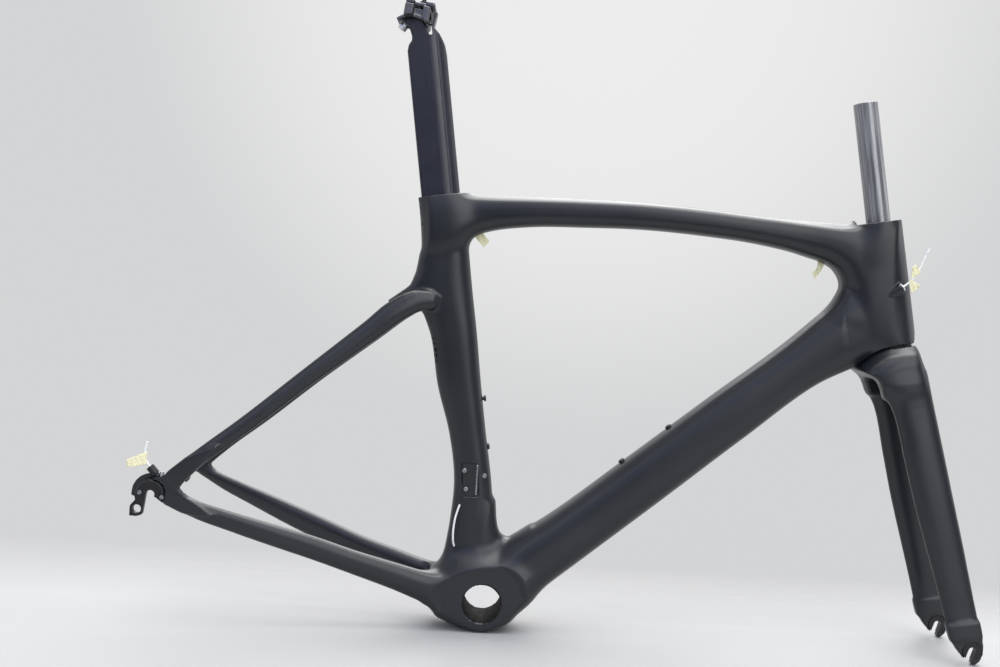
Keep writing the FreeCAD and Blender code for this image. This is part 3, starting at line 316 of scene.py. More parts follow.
BB_LINER = [(-39, 50, -9), (-46, 58, -17), (-49.5, 70, -20.6), (-51, 84, -21.6), (-51, 98, -21.4),
            (-48.6, 111, -20.6)]
HEAD_LINER = [(421.0, 470.6, -27.4), (428.6, 478.2, -27.8), (434.0, 487.4, -27.2), (437.4, 499.0, -26.4),
              (440.2, 511.0, -26.0), (443.4, 522.4, -25.6)]
REAR_LINER = [(-409.8, 92.1, -66.5), (-415.9, 97.0, -66.5), (-420.0, 104.6, -66.5), (-421.4, 113.6, -66.5),
              (-419.8, 122.0, -66.5)]


def tape_tab(name, outline, y, curl):
    """A torn scrap of tape: a thin closed sheet, gently curled out of its plane."""
    outline = np.array(outline, float)
    centre = outline.mean(axis=0)
    dense = []
    for a, b in zip(outline, np.roll(outline, -1, axis=0)):
        for share in np.arange(0, 1, 0.125):
            dense.append(a + (b - a) * share)
    dense = np.array(dense)
    count, rings = len(dense), 7
    flat = [centre]
    for ring in range(1, rings + 1):
        flat += list(centre + (dense - centre) * (ring / rings))
    flat = np.array(flat)
    reach = np.abs(outline - centre).max()
    along = (flat - centre) / reach
    lift = curl * (along[:, 0] ** 2 - 0.3) + 0.25 * np.sin(flat[:, 0] * 0.9 + flat[:, 1] * 0.5)
    front = np.column_stack([flat[:, 0], y + lift, flat[:, 1]])
    back = front + AXIS_Y * 0.26
    faces = []
    total = len(flat)
    for i in range(count):
        j = (i + 1) % count
        faces.append((0, 1 + i, 1 + j))
        faces.append((total, total + 1 + j, total + 1 + i))
        for ring in range(1, rings):
            a, b = 1 + (ring - 1) * count, 1 + ring * count
            faces.append((a + i, b + i, b + j, a + j))
            faces.append((total + a + i, total + a + j, total + b + j, total + b + i))
        rim = 1 + (rings - 1) * count
        faces.append((rim + i, total + rim + i, total + rim + j, rim + j))
    onward = np.roll(outline, -1, axis=0)
    area = 0.5 * np.sum(outline[:, 0] * onward[:, 1] - outline[:, 1] * onward[:, 0])
    if area < 0:
        faces = [face[::-1] for face in faces]
    return make_piece(name, np.vstack([front, back]), faces, "frame", "masking_tape")


head_tabs = [
    tape_tab("head_tape_upper", [(427.7, 482.2), (426.4, 495.8), (429.9, 499.2), (436.9, 493.1),
                                 (437.4, 489.7)], -29.4, 0.5),
    tape_tab("head_tape_lower", [(426.5, 478.2), (431.5, 464.6), (437.3, 470.2), (440.2, 476.3),
                                 (435.9, 477.8), (428.4, 480.5)], -29.4, 0.5),
]
rear_tab = tape_tab("rear_tape", [(-440.6, 96.8), (-418, 111), (-416, 96), (-438, 88)], -68.0, 0.8)
top_tab_rear = tape_tab("top_tube_tape_rear", [(-95, 433.5), (-86, 440), (-74.5, 430), (-80, 421.5)],
                        0.0, 0.8)
tape_tab("top_tube_tape_front", [(322, 483.5), (331, 482), (328, 472), (323, 462), (318, 467),
                                 (323, 475)], 0.0, 0.8)
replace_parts(head_tabs[0], "head_tape_tab")
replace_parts(rear_tab, "rear_tape_tab")
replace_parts(top_tab_rear, "top_tube_tape_tabs")

liner("head_liner", HEAD_LINER, "head_cable_liner")
liner("bb_liner", BB_LINER, "bb_cable_liner")
liner("rear_liner", REAR_LINER, "rear_cable_liner")


# ---- distance fields -----------------------------------------------------------------------
def soft_min(a, b, k):
    h = np.clip(0.5 + 0.5 * (b - a) / k, 0.0, 1.0)
    return b * (1 - h) + a * h - k * h * (1 - h)


def soft_max(a, b, k):
    return -soft_min(-a, -b, k)


def resample(rows, spacing=9.0):
    """Stations joined by smooth cubic runs, one about every spacing."""
    rows = np.array(rows, float)
    centres = (rows[:, 0:2] + rows[:, 2:4]) / 2
    steps = np.hypot(*np.diff(centres, axis=0).T)
    slopes = np.diff(rows, axis=0) / steps[:, None]
    tangents = np.empty_like(rows)
    before, after = steps[:-1, None], steps[1:, None]
    tangents[1:-1] = (slopes[:-1] * after + slopes[1:] * before) / (before + after)
    tangents[0] = 1.5 * slopes[0] - 0.5 * tangents[1]
    tangents[-1] = 1.5 * slopes[-1] - 0.5 * tangents[-2]
    dense = []
    for i, step in enumerate(steps):
        count = max(2, int(round(step / spacing)))
        for share in np.arange(count) / count:
            t2, t3 = share ** 2, share ** 3
            dense.append((2 * t3 - 3 * t2 + 1) * rows[i] + (t3 - 2 * t2 + share) * step * tangents[i]
                         + (3 * t2 - 2 * t3) * rows[i + 1] + (t3 - t2) * step * tangents[i + 1])
    return np.array(dense + [rows[-1]])


def swept(stations, power=2.6, far=30.0):
    """A tube with a rounded section. Each station is upper x, z, lower x, z, y, width, and an optional
    depth of a flattened roof, whose lower edges are creases along the flanks."""
    stations = [tuple(row) + (0.0,) * (7 - len(row)) for row in stations]
    rows = resample(stations)
    centre = (rows[:, 0:2] + rows[:, 2:4]) / 2
    chord = rows[:, 0:2] - rows[:, 2:4]
    half = np.hypot(*chord.T) / 2
    way = chord / (2 * half[:, None])
    normal = np.column_stack([way[:, 1], -way[:, 0]])
    ahead = np.gradient(centre, axis=0)
    normal *= np.sign((normal * ahead).sum(axis=1))[:, None]
    offset = (centre * normal).sum(axis=1)
    table = np.column_stack([centre, way, half, rows[:, 4], rows[:, 5] / 2, rows[:, 6]])
    low = np.array([min(rows[:, 0].min(), rows[:, 2].min()), (rows[:, 4] - rows[:, 5] / 2).min(),
                    min(rows[:, 1].min(), rows[:, 3].min())]) - far
    high = np.array([max(rows[:, 0].max(), rows[:, 2].max()), (rows[:, 4] + rows[:, 5] / 2).max(),
                     max(rows[:, 1].max(), rows[:, 3].max())]) + far
    roofed = rows[:, 6].max() > 0

    def field(x, y, z):
        result = np.full(x.shape, far)
        near = ((x > low[0]) & (x < high[0]) & (y > low[1]) & (y < high[1]) & (z > low[2]) & (z < high[2]))
        if not near.any():
            return result
        px, py, pz = x[near], y[near], z[near]
        planes = (np.outer(px, normal[:, 0]) + np.outer(pz, normal[:, 1]) - offset).astype(np.float32)
        index = np.clip((planes >= 0).sum(axis=1) - 1, 0, len(offset) - 2)
        pick = np.arange(len(px))
        d0, d1 = planes[pick, index], planes[pick, index + 1]
        gap = d0 - d1
        share = np.clip(d0 / np.where(np.abs(gap) < 1e-6, 1e-6, gap), 0.0, 1.0)[:, None]
        local = table[index] * (1 - share) + table[index + 1] * share
        a = (px - local[:, 0]) * local[:, 2] + (pz - local[:, 1]) * local[:, 3]
        b = py - local[:, 5]
        h, w = local[:, 4], local[:, 6]
        ra, rb = np.abs(a) / h + 1e-4, np.abs(b) / w + 1e-4
        level = (ra ** power + rb ** power) ** (1 / power)
        slope = np.hypot(ra ** (power - 1) / h, rb ** (power - 1) / w) / level ** (power - 1)
        distance = (level - 1) / slope
        if roofed:
            drop = local[:, 7]
            ridge = np.sqrt(b ** 2 + 36.0) - 6.0
            roof = (a - h + drop * ridge / w) / np.sqrt(1 + (drop / w) ** 2)
            distance = soft_max(distance, roof, 1.6)
        ends = np.maximum(-planes[:, 0], planes[:, -1])
        result[near] = soft_max(distance, ends, 5.0)
        return result

    return field


def outline_distance(points):
    """Signed distance to a flat closed outline, negative inside."""
    a = np.array(points, float)
    b = np.roll(a, -1, axis=0)

    def field(x, z):
        best = np.full(x.shape, 1e12)
        inside = np.zeros(x.shape, bool)
        for (ax, az), (bx, bz) in zip(a, b):
            ex, ez = bx - ax, bz - az
            share = np.clip(((x - ax) * ex + (z - az) * ez) / (ex * ex + ez * ez), 0, 1)
            best = np.minimum(best, (x - ax - share * ex) ** 2 + (z - az - share * ez) ** 2)
            crosses = (az > z) != (bz > z)
            if ez != 0:
                inside ^= crosses & (x < ax + (z - az) * ex / ez)
        return np.where(inside, -1.0, 1.0) * np.sqrt(best)

    return field


def slab(flat, depth, half, rounding):
    """A flat shape given a thickness and rounded edges."""
    a, b = flat + rounding, np.abs(depth) - half + rounding
    outside = np.hypot(np.maximum(a, 0), np.maximum(b, 0))
    return outside + np.minimum(np.maximum(a, b), 0) - rounding


def box_distance(x, y, z, low, high, rounding=0.0):
    gaps = [np.maximum(lo - c, c - hi) + rounding for c, lo, hi in zip((x, y, z), low, high)]
    outside = np.sqrt(sum(np.maximum(g, 0) ** 2 for g in gaps))
    return outside + np.minimum(np.maximum(np.maximum(gaps[0], gaps[1]), gaps[2]), 0) - rounding


# ---- surfaces from fields ------------------------------------------------------------------
def sample_lattice(field, axes):
    """The field on a lattice, worked out in full only in blocks near the surface."""
    block = 4
    coarse = [np.unique(np.r_[np.arange(0, len(axis), block), len(axis) - 1]) for axis in axes]
    grid = np.meshgrid(*[axis[c] for axis, c in zip(axes, coarse)], indexing="ij")
    values = field(*[g.ravel() for g in grid]).reshape(grid[0].shape)
    spans = [np.diff(axis[c]) for axis, c in zip(axes, coarse)]
    wide, deep, tall = (span ** 2 for span in spans)
    diagonal = np.sqrt(wide[:, None, None] + deep[None, :, None] + tall[None, None, :])
    corners = [values[i:i + values.shape[0] - 1, j:j + values.shape[1] - 1, k:k + values.shape[2] - 1]
               for i in (0, 1) for j in (0, 1) for k in (0, 1)]
    nearest = np.min(np.abs(corners), axis=0)
    mixed = (np.min(corners, axis=0) < 0) & (np.max(corners, axis=0) > 0)
    active = mixed | (nearest < diagonal * 1.1)
    owners = [np.clip(np.searchsorted(c, np.arange(len(axis)), side="right") - 1, 0, len(c) - 2)
              for axis, c in zip(axes, coarse)]
    fine = active[np.ix_(*owners)]
    result = values[:-1, :-1, :-1][np.ix_(*owners)].astype(np.float32)
    for axis in range(3):
        shifted = np.roll(fine, 1, axis)
        edge = [slice(None)] * 3
        edge[axis] = slice(0, 1)
        shifted[tuple(edge)] = False
        fine |= shifted
    places = np.argwhere(fine)
    sampled = np.empty(len(places), np.float32)
    for start in range(0, len(places), 200000):
        part = places[start:start + 200000]
        sampled[start:start + 200000] = field(*[axes[k][part[:, k]] for k in range(3)])
    result[fine] = sampled
    return result


def gradient(field, points, reach=0.3):
    parts = []
    for axis in range(3):
        shift = np.zeros(3)
        shift[axis] = reach
        parts.append(field(*(points + shift).T) - field(*(points - shift).T))
    return np.column_stack(parts) / (2 * reach)


def surface(field, axes):
    """Points, quads and normals of the field's zero surface."""
    values = sample_lattice(field, axes)
    inside = values < 0
    shape = tuple(n - 1 for n in inside.shape)
    offsets = [(i, j, k) for i in (0, 1) for j in (0, 1) for k in (0, 1)]

    def corner(array, offset):
        return array[tuple(slice(o, o + n) for o, n in zip(offset, shape))]

    total = sum(corner(inside, offset).astype(np.int8) for offset in offsets)
    active = (total > 0) & (total < 8)
    cells = np.argwhere(active)
    number = np.full(shape, -1, np.int64)
    number[active] = np.arange(len(cells))
    sums, counts = np.zeros((len(cells), 3)), np.zeros(len(cells))
    for first in offsets:
        for axis in range(3):
            if first[axis]:
                continue
            second = tuple(o + (1 if k == axis else 0) for k, o in enumerate(first))
            ia, ib = cells + np.array(first), cells + np.array(second)
            va, vb = values[tuple(ia.T)], values[tuple(ib.T)]
            hit = (va < 0) != (vb < 0)
            share = va[hit] / (va[hit] - vb[hit])
            pa = np.column_stack([axes[k][ia[hit, k]] for k in range(3)])
            pb = np.column_stack([axes[k][ib[hit, k]] for k in range(3)])
            sums[hit] += pa + (pb - pa) * share[:, None]
            counts[hit] += 1
    points = sums / counts[:, None]
    quads = []
    for axis in range(3):
        b, c = [k for k in range(3) if k != axis]
        here = [slice(1, -1)] * 3
        here[axis] = slice(0, -1)
        there = list(here)
        there[axis] = slice(1, None)
        first, second = inside[tuple(here)], inside[tuple(there)]
        nodes = np.argwhere(first != second)
        solid_first = first[tuple(nodes.T)]
        nodes[:, b] += 1
        nodes[:, c] += 1
        ring = []
        for db, dc in ((-1, -1), (0, -1), (0, 0), (-1, 0)):
            cell = nodes.copy()
            cell[:, b] += db
            cell[:, c] += dc
            ring.append(number[tuple(cell.T)])
        quad = np.column_stack(ring)
        flip = solid_first if axis == 1 else ~solid_first
        quad[flip] = quad[flip][:, ::-1]
        quads.append(quad)
    quads = np.vstack(quads)
    points = settle(field, points, quads)
    normals = gradient(field, points)
    normals /= np.linalg.norm(normals, axis=1, keepdims=True) + 1e-12
    return points, quads, normals


def settle(field, points, quads, rounds=2):
    """Evens the points out along the surface and draws them onto it."""
    for step in range(rounds + 1):
        for _ in range(2):
            slope = gradient(field, points)
            size = (slope ** 2).sum(axis=1) + 0.05
            shift = slope * (field(*points.T) / size)[:, None]
            length = np.linalg.norm(shift, axis=1, keepdims=True)
            points = points - shift * np.minimum(1.0, 1.0 / np.maximum(length, 1e-9))
        if step == rounds:
            break
        sums, counts = np.zeros_like(points), np.zeros(len(points))
        for k in range(4):
            np.add.at(sums, quads[:, k], points[quads[:, (k + 1) % 4]] + points[quads[:, (k + 3) % 4]])
            np.add.at(counts, quads[:, k], 2)
        pull = sums / np.maximum(counts, 1)[:, None] - points
        normal = slope / np.sqrt(size)[:, None]
        pull -= normal * (pull * normal).sum(axis=1, keepdims=True)
        points = points + 0.5 * pull
    return points


def lines(*runs):
    """Lattice lines from (start, step) pairs and a last value."""
    values = []
    for (start, step), end in zip(runs[:-1], [run[0] for run in runs[1:-1]] + [runs[-1]]):
        count = max(1, int(round((end - start) / (step * coarse_scale))))
        values += list(start + (end - start) * np.arange(count) / count)
    return np.array(values + [runs[-1]])


def skin(name, field, axes, body, slot, nodes, origin=None, basis=None, finish=None):
    """A field's surface as a piece. The field's own axes are basis, from origin."""
    points, quads, normals = surface(field, axes)
    if basis is not None:
        turn = np.array(basis)
        points = np.array(origin) + points @ turn
        normals = normals @ turn
    print(name, len(points), "points", len(quads), "quads")
    return make_piece(name, points, quads, body, slot, nodes, normals, finish)


# ---- frame skin ----------------------------------------------------------------------------
HEAD_TOP, HEAD_FOOT = 10.0, 160.0          # down the steering axis
HEAD_BORE_R = 18.4
UPPER_SEAT_R, UPPER_SEAT_V = 20.9, 21.0
LOWER_SEAT_R, LOWER_SEAT_V = 23.5, 148.0
# the head tube's foot and the crown's top meet on a cone outside this radius
CONE_R, CONE_RISE, CONE_SLANT = 28.5, 0.847, 1.31
BB_BORE_R, BB_SHELL_R, BB_HALF = 23.0, 32.0, 34.0
SKIN_LOW_Z = -34.9       # the blended skin is cut here, so that it stays inside the CAD's box
POCKET_DEPTH = 200.0
WEDGE_BOLT_P, WEDGE_BOLT_R, WEDGE_BOLT_DEPTH = 28.8, 4.2, 5.5
FD_SEAT_Y = -11.5
DROPOUT_Y, DROPOUT_HALF = 69.0, 4.0
AXLE_R = 5.0
SEAT_TUBE = [
    (16, 14, -50, 6, 0, 56), (7, 55, -56, 38, 0, 43), (-5, 100, -57, 86, 0, 37), (-17, 146, -61, 134, 0, 35),
    (-35, 203, -78, 191, 0, 34), (-52, 260, -103, 246, 0, 35), (-68, 317, -121.5, 301, 0, 36),
    (-85, 373, -149, 355, 0, 37), (-97, 415, -152.5, 399, 0, 37), (-108, 455, -161.5, 439, 0, 37),
    (-120, 495, -174, 479, 0, 37),
]
TOP_TUBE = [
    (-152, 473, -139, 404, 0, 37, 11), (-115, 480, -106, 426, 0, 37, 11), (-79, 486, -73, 443, 0, 38, 11),
    (-36, 493, -30, 456, 0, 39, 10), (29, 503, 34, 468, 0, 40, 9), (102, 512.5, 107, 479.5, 0, 42, 7),
    (175, 519, 178, 486, 0, 43, 5.5), (248, 524, 249, 489, 0, 43, 7), (300, 529, 301, 486, 0, 44, 11),
    (337, 533, 342, 477, 0, 49, 14), (358, 536, 371, 455, 0, 53, 13), (377, 539, 394, 430, 0, 55, 11),
    (396, 544, 413, 425, 0, 55, 10),
]
DOWN_TUBE = [
    (-8, 40, 38, -14, 0, 68, 2), (26, 82, 74, 30, 0, 64, 2), (62, 117, 110, 70, 0, 61, 3),
    (145, 207, 193, 162, 0, 57, 4), (226, 296, 274, 253, 0, 54, 5), (308, 385, 354, 339, 0, 52, 6),
    (350, 436, 392, 366, 0, 54, 6), (392, 480, 430, 395, 0, 56, 6),
]
CHAIN_STAY = [
    (-384, 70, -386, 57, 69, 8), (-357, 66, -356, 46, 67, 10), (-310, 59, -309, 36, 61, 13),
    (-262, 53, -260, 27, 55, 15), (-210, 46, -208, 18, 48, 16), (-160, 37, -158, 8, 41, 17),
    (-110, 30, -108, -2.5, 34, 19), (-62, 23, -60, -15, 27, 22), (-14, 14, -12, -25, 22, 22),
]
YOKE = [
    (-70, 24, -64, -17, 0, 58), (-48, 30, -46, -28, 0, 63), (-28, 32, -27, -33.5, 0, 66),
    (4, 32, 4, -34, 0, 67),
]
SEAT_STAY = [
    (-389, 93, -376, 81, 70, 8), (-366, 120, -352.6, 108, 67, 10), (-321.7, 168, -307.6, 155.3, 57, 13),
    (-262.8, 236.3, -247.4, 222, 43, 14), (-202.8, 305.6, -184.4, 288, 30, 15),
    (-173, 340, -153, 321, 24, 16),
    (-152, 354, -140, 331, 21.5, 14), (-134, 357, -130, 334, 20, 11), (-122, 352, -122, 338, 19.5, 8),
]
# how much higher the left chain stay runs: its upper and its lower edge, station by station
LEFT_STAY_RISE = [(8, 14), (9, 12), (8, 8), (5.0, 3.0), (1.5, -0.5), (0, 0.5), (0, 0), (0, 0), (0, 0)]
LEFT_ARCH_R = 10.5
REAR_AXLE = (-405.0, 63.0)
ARCH_R = 18.0
RIGHT_KNUCKLE = [
    (-388.5, 56), (-366, 50), (-330, 52), (-362, 67), (-374, 76),
    (-370, 84), (-340, 132), (-372, 111), (-384, 97.5),
    (-395, 86.5), (-412, 80.5), (-405, 63),
]
LEFT_KNUCKLE = [
    (-386, 73), (-366, 67), (-330, 62), (-362, 75), (-374, 84),
    (-371, 90), (-340, 132), (-372, 111), (-384, 97.5),
    (-394, 84), (-409, 78), (-405, 63),
]
# flat shapes that fill the corners where tubes meet
WINDOW_FRONT = [(357, 420), (356, 445), (357, 470), (400, 480), (400, 415)]
WINDOW_FOOT = [
    (-14, 118), (-9, 118), (-5, 100), (-1, 89), (5, 81.5), (11, 78),
    (17, 76.5), (21, 77.5), (30, 84), (42, 94),
    (40, 70), (0, 50), (-20, 80),
]
STAY_ROOT = [
    (-150, 396), (-152, 376), (-158, 360), (-168, 350), (-184, 334), (-150, 330), (-130, 350), (-130, 396),
]
HUB = [
    (-54, -22), (-39, -29.6), (-20, -33), (7, -33), (26, -22), (38, -4),
    (52, 14), (46, 36), (14, 46), (-20, 42),
    (-46, 24),
]
FD_OUTLINE = [(-55, 160), (-38, 163), (-33, 144), (-29, 124), (-43, 121), (-50, 136)]


def post_outline(grow):
    """The seatpost's section as (p, y) points: round nose, flat flanks, blunt tail."""
    half, chord = 12.5 + grow, 46.7 / 2 + grow
    widest = chord - 19.5
    points = []
    for angle in np.linspace(0, math.pi / 2, 12):
        points.append((widest + (chord - widest) * math.cos(angle) ** 0.9, half * math.sin(angle) ** 1.05))
    points += [(-chord + 3.0, 9.6 + grow), (-chord + 0.9, 8.7 + grow), (-chord, 6.4 + grow)]
    return points + [(p, -y) for p, y in points[:0:-1]]


def closed_spline(points, count=8):
    points = np.array(points, float)
    result = []
    for i in range(len(points)):
        a, b, c, d = (points[(i + k) % len(points)] for k in (-1, 0, 1, 2))
        for t in np.arange(count) / count:
            result.append(0.5 * (2 * b + (c - a) * t + (2 * a - 5 * b + 4 * c - d) * t ** 2
                                 + (3 * b - a - 3 * c + d) * t ** 3))
    return result


def cone(below, radius):
    """Distance under a flat ring that turns down into a cone outside CONE_R."""
    return (below - CONE_RISE * np.maximum(radius - CONE_R, 0)) / np.where(radius > CONE_R, CONE_SLANT, 1.0)


def frame_field():
    top, down, seat = swept(TOP_TUBE, 2.8), swept(DOWN_TUBE, 2.7), swept(SEAT_TUBE, 2.6)
    yoke = swept(YOKE, 3.2)
    stays = []
    for sign in (-1, 1):
        chain = []
        for (ux, uz, lx, lz, y, width), (upper, lower) in zip(CHAIN_STAY, LEFT_STAY_RISE):
            if sign > 0:
                uz, lz = uz + upper, lz + lower
            chain.append((ux, uz, lx, lz, sign * y, width, 3.0))
        plan = LEFT_KNUCKLE if sign > 0 else RIGHT_KNUCKLE
        seat_stay = [(a, b, c, d, sign * y, w) for a, b, c, d, y, w in SEAT_STAY]
        stays.append((sign, swept(chain, 2.4), swept(seat_stay, 2.3), outline_distance(plan)))
    pocket = outline_distance(post_outline(0.3))
    mount = outline_distance(FD_OUTLINE)
    front_corner, foot_corner = outline_distance(WINDOW_FRONT), outline_distance(WINDOW_FOOT)
    stay_root, hub = outline_distance(STAY_ROOT), outline_distance(closed_spline(HUB, 4))
    port_foot, port_way = np.array([401.0, -23.4, 451.0]), np.array([19.1, -3.9, 18.7])
    port_length = np.linalg.norm(port_way)
    port_way = port_way / port_length

    def head_part(y, u, v):
        tube = np.hypot(u, y) - (27.0 + 1.5 * (v - HEAD_TOP) / 150.0)
        return np.maximum(np.maximum(tube, 6.0 - v), v - 164.0)

    def cowl_part(x, y, z):
        along = np.clip((x - port_foot[0]) * port_way[0] + (y - port_foot[1]) * port_way[1]
                        + (z - port_foot[2]) * port_way[2], -2.0, port_length + 3.0)
        share = np.clip(along / port_length, 0, 1)
        gaps = [(c - foot - along * way) ** 2 for c, foot, way in zip((x, y, z), port_foot, port_way)]
        cowl = np.sqrt(sum(gaps)) - (1.0 + 6.0 * share)
        return soft_max(cowl, along - port_length, 0.6)

    def stay_part(x, y, z):
        total = None
        axle = np.hypot(x - REAR_AXLE[0], z - REAR_AXLE[1])
        for sign, chain, stay, knuckle in stays:
            depth = sign * y - DROPOUT_Y
            plan = knuckle(x, z)
            if sign > 0:
                arch = np.maximum(axle - LEFT_ARCH_R, 50.0 - z + 0.6 * np.maximum(x + 395.0, 0))
                plan = soft_min(plan, arch, 3.0)
                slot = np.minimum(axle, np.where(z < REAR_AXLE[1], np.abs(x - REAR_AXLE[0]), 1e3)) - AXLE_R
                plan = np.maximum(plan, -slot)
            else:
                plan = np.maximum(plan, ARCH_R + 0.3 - axle)
            plate = slab(plan, depth, DROPOUT_HALF, 1.1)
            stay_pair = soft_min(chain(x, y, z), stay(x, y, z), 10.0)
            one = soft_max(soft_min(stay_pair, plate, 6.0), depth - DROPOUT_HALF, 1.0)
            if sign < 0:
                ring = slab(np.maximum(np.maximum(axle - 24.0, 10.5 - axle), 56.0 - z), y + 63.25, 1.75, 0.4)
                one = np.minimum(one, ring)
            total = one if total is None else np.minimum(total, one)
        return total

    def field(x, y, z):
        u, v = steer_coords(x, z)
        p, s = seat_coords(x, z)
        body = soft_min(top(x, y, z), head_part(y, u, v), 16.0)
        lower = soft_min(down(x, y, z), seat(x, y, z), 16.0)
        lower = soft_min(lower, slab(foot_corner(x, z), y, 12.0, 8.0), 14.0)
        from_bore = np.hypot(x, z)
        shell = slab(from_bore - BB_SHELL_R, y, BB_HALF, 1.4)
        bracket = soft_min(soft_min(shell, yoke(x, y, z), 10.0), slab(hub(x, z), y, 33.5, 17.0), 14.0)
        lower = soft_min(lower, bracket, 26.0)
        lower = soft_min(lower, slab(front_corner(x, z), y, 15.0, 9.0), 20.0)
        body = soft_min(body, lower, 18.0)
        body = soft_min(body, slab(stay_root(x, z), y, 11.0, 9.0), 15.0)
        body = soft_min(body, stay_part(x, y, z), np.where(z > 150.0, 6.0, 13.0))
        body = soft_max(body, np.abs(y) - BB_HALF - 0.35 * np.maximum(from_bore - 50.0, 0), 1.4)
        body = soft_max(body, np.abs(y) - 28.4 - 0.5 * np.maximum(-60.0 - u, 0), 5.0)
        body = soft_min(body, cowl_part(x, y, z), 1.4)
        above_head = np.maximum(v - HEAD_TOP, -29.5 - u)
        body = soft_max(body, -above_head, 1.0)
        radius = np.hypot(u, y)
        under = cone(v - HEAD_FOOT, radius)
        body = np.where(radius < 150.0, soft_max(body, under, 0.9), body)
        bolt = np.maximum(np.hypot(p - WEDGE_BOLT_P, y) - WEDGE_BOLT_R, -WEDGE_BOLT_DEPTH - s)
        cuts = [
            (HEAD_BORE_R - radius, 0.8),
            (-np.maximum(radius - UPPER_SEAT_R, v - UPPER_SEAT_V), 0.8),
            (-np.maximum(radius - LOWER_SEAT_R, LOWER_SEAT_V - v), 0.8),
            (s - 60.0 * (p > 60.0), 1.0),                          # top of the seat tube, not of the head
            (-np.maximum(pocket(p, y), -POCKET_DEPTH - s), 0.7),
            (-bolt, 0.6),
            (BB_BORE_R - from_bore, 0.9),
            (SKIN_LOW_Z - z, 1.5),
            (-np.maximum(mount(x, z), y - FD_SEAT_Y), 0.9),
        ]
        for cut, rounding in cuts:
            body = soft_max(body, cut, rounding)
        return body

    return field


MAIN_NODES = ["head_tube", "down_tube", "seat_tube", "top_tube", "bottom_bracket_shell"]
for part in ("chain_stay", "seat_stay", "rear_dropout"):
    MAIN_NODES += ["right_" + part, "left_" + part]
MAIN_NODES.append("head_cable_port")
frame_axes = [
    lines((-430, 1.8), (-340, 3.0), (-180, 2.0),
          (-100, 2.5), (-62, 1.6), (-26, 2.7),
          (340, 2.2), 452),
    lines((-76, 2.1), 76),
    lines((-42, 2.3), (20, 1.9), (122, 1.8),
          (166, 2.8), (440, 2.0), (498, 2.4), 560),
]
frame_skin = skin("frame_skin", frame_field(), frame_axes, "frame", "carbon", MAIN_NODES)


def paint_shade_in_bore():
    """Gives the inside of the bottom bracket its darker dull finish: painted shade in the bore."""
    mesh = frame_skin.data
    mesh.materials.append(FINISHES["bore_painted_shade"].material)
    centres = np.empty(len(mesh.polygons) * 3)
    mesh.polygons.foreach_get("center", centres)
    centres = centres.reshape(-1, 3)
    # faces inside the bore take the painted shade
    inside = (np.hypot(centres[:, 0], centres[:, 2]) < 0.0236) & (np.abs(centres[:, 1]) < 0.036)
    mesh.polygons.foreach_set("material_index", inside.astype(np.int32))


paint_shade_in_bore()


# ---- fork skin -----------------------------------------------------------------------------
CROWN_TOP = 162.5
FORK_AXLE = (36.5, 527.0)
TYRE_R, TYRE_HALF = 336.0, 22.0
TIP_Y, TIP_HALF, TIP_SOCKET_R, FORK_SLOT_R = 55.0, 5.0, 11.0, 4.5
SLOT_LEAN = math.radians(9.5)
TIP_OUTLINE = [
    (12.2, 500), (14.2, 512), (19.5, 524), (26.0, 534.5), (33.0, 542.5), (38.5, 544.0), (44.5, 540.5),
    (49.0, 532.5), (50.6, 523.0), (49.2, 500), (48.4, 494), (11.6, 494),
]
BLADE = [
    (-14.0, 16.0, 176, 10.0), (-26.0, 27.0, 194, 17.0), (-27.0, 28.2, 206, 19.0), (-18.5, 30.5, 236, 18.5),
    (-12.0, 35.3, 300, 17.5), (-6.5, 39.4, 356, 16.5), (0.2, 43.2, 407, 15.0),
    (6.7, 46.2, 455, 13.0), (12.2, 49.2, 500, 10.0),
    (14.0, 50.0, 512, 10.0),
]
CROWN_OUTLINE = [(28.3, 0), (27.0, 20), (22.0, 35), (12.0, 42), (-30.0, 42), (-44.0, 35), (-50.0, 20)]
CHIN = [
    (-90, 177), (-51, 184), (-45, 187), (-39, 191), (-34, 195.5),
    (-30, 201), (-27.5, 209), (-26, 222), (-90, 222),
]


def fork_field():
    blades = []
    for sign in (-1, 1):
        rows = []
        for rear, front, v, width in BLADE:
            y = 33.5 + 21.5 * max(v - 206.0, 0) / 294.0 - 0.18 * max(206.0 - v, 0)
            rows.append((front, -v, rear, -v, sign * y, width))
        blades.append(swept(rows, 2.4))
    tip = outline_distance([(u, -v) for u, v in TIP_OUTLINE])
    chin = outline_distance([(u, -v) for u, v in CHIN])
    plan = outline_distance(closed_spline(CROWN_OUTLINE + [(u, -y) for u, y in CROWN_OUTLINE[:0:-1]]))
    slot_turn = SLOT_LEAN + math.pi / 2 - HEAD_ANGLE

    def field(u, y, w):
        v = -w
        radius = np.hypot(u, y)
        top = -cone(v - CROWN_TOP, radius)
        crown = soft_max(plan(u, y), top, 9.0)
        crown = soft_max(crown, v - 222.0, 22.0)
        du, dv = u - FORK_AXLE[0], v - FORK_AXLE[1]
        axle = np.hypot(du, dv)
        tyre = slab(axle - TYRE_R, y, TYRE_HALF, 7.0)
        crown = soft_max(crown, -tyre, 4.0)
        crown = soft_max(crown, -chin(u, w), 3.0)
        blade = np.minimum(blades[0](u, y, w), blades[1](u, y, w))
        body = soft_min(crown, blade, 9.0)
        plate = slab(tip(u, w), np.abs(y) - TIP_Y, TIP_HALF, 1.5)
        body = soft_min(body, plate, 7.0)
        body = soft_max(body, -slab(axle - TIP_SOCKET_R, np.abs(y) - TIP_Y, 9.0, 0.0), 0.4)
        across = du * math.cos(slot_turn) + dv * math.sin(slot_turn)
        along = dv * math.cos(slot_turn) - du * math.sin(slot_turn)
        slot = np.where(along > 0, np.abs(across), axle) - FORK_SLOT_R
        return soft_max(body, -slot, 0.7)

    return field


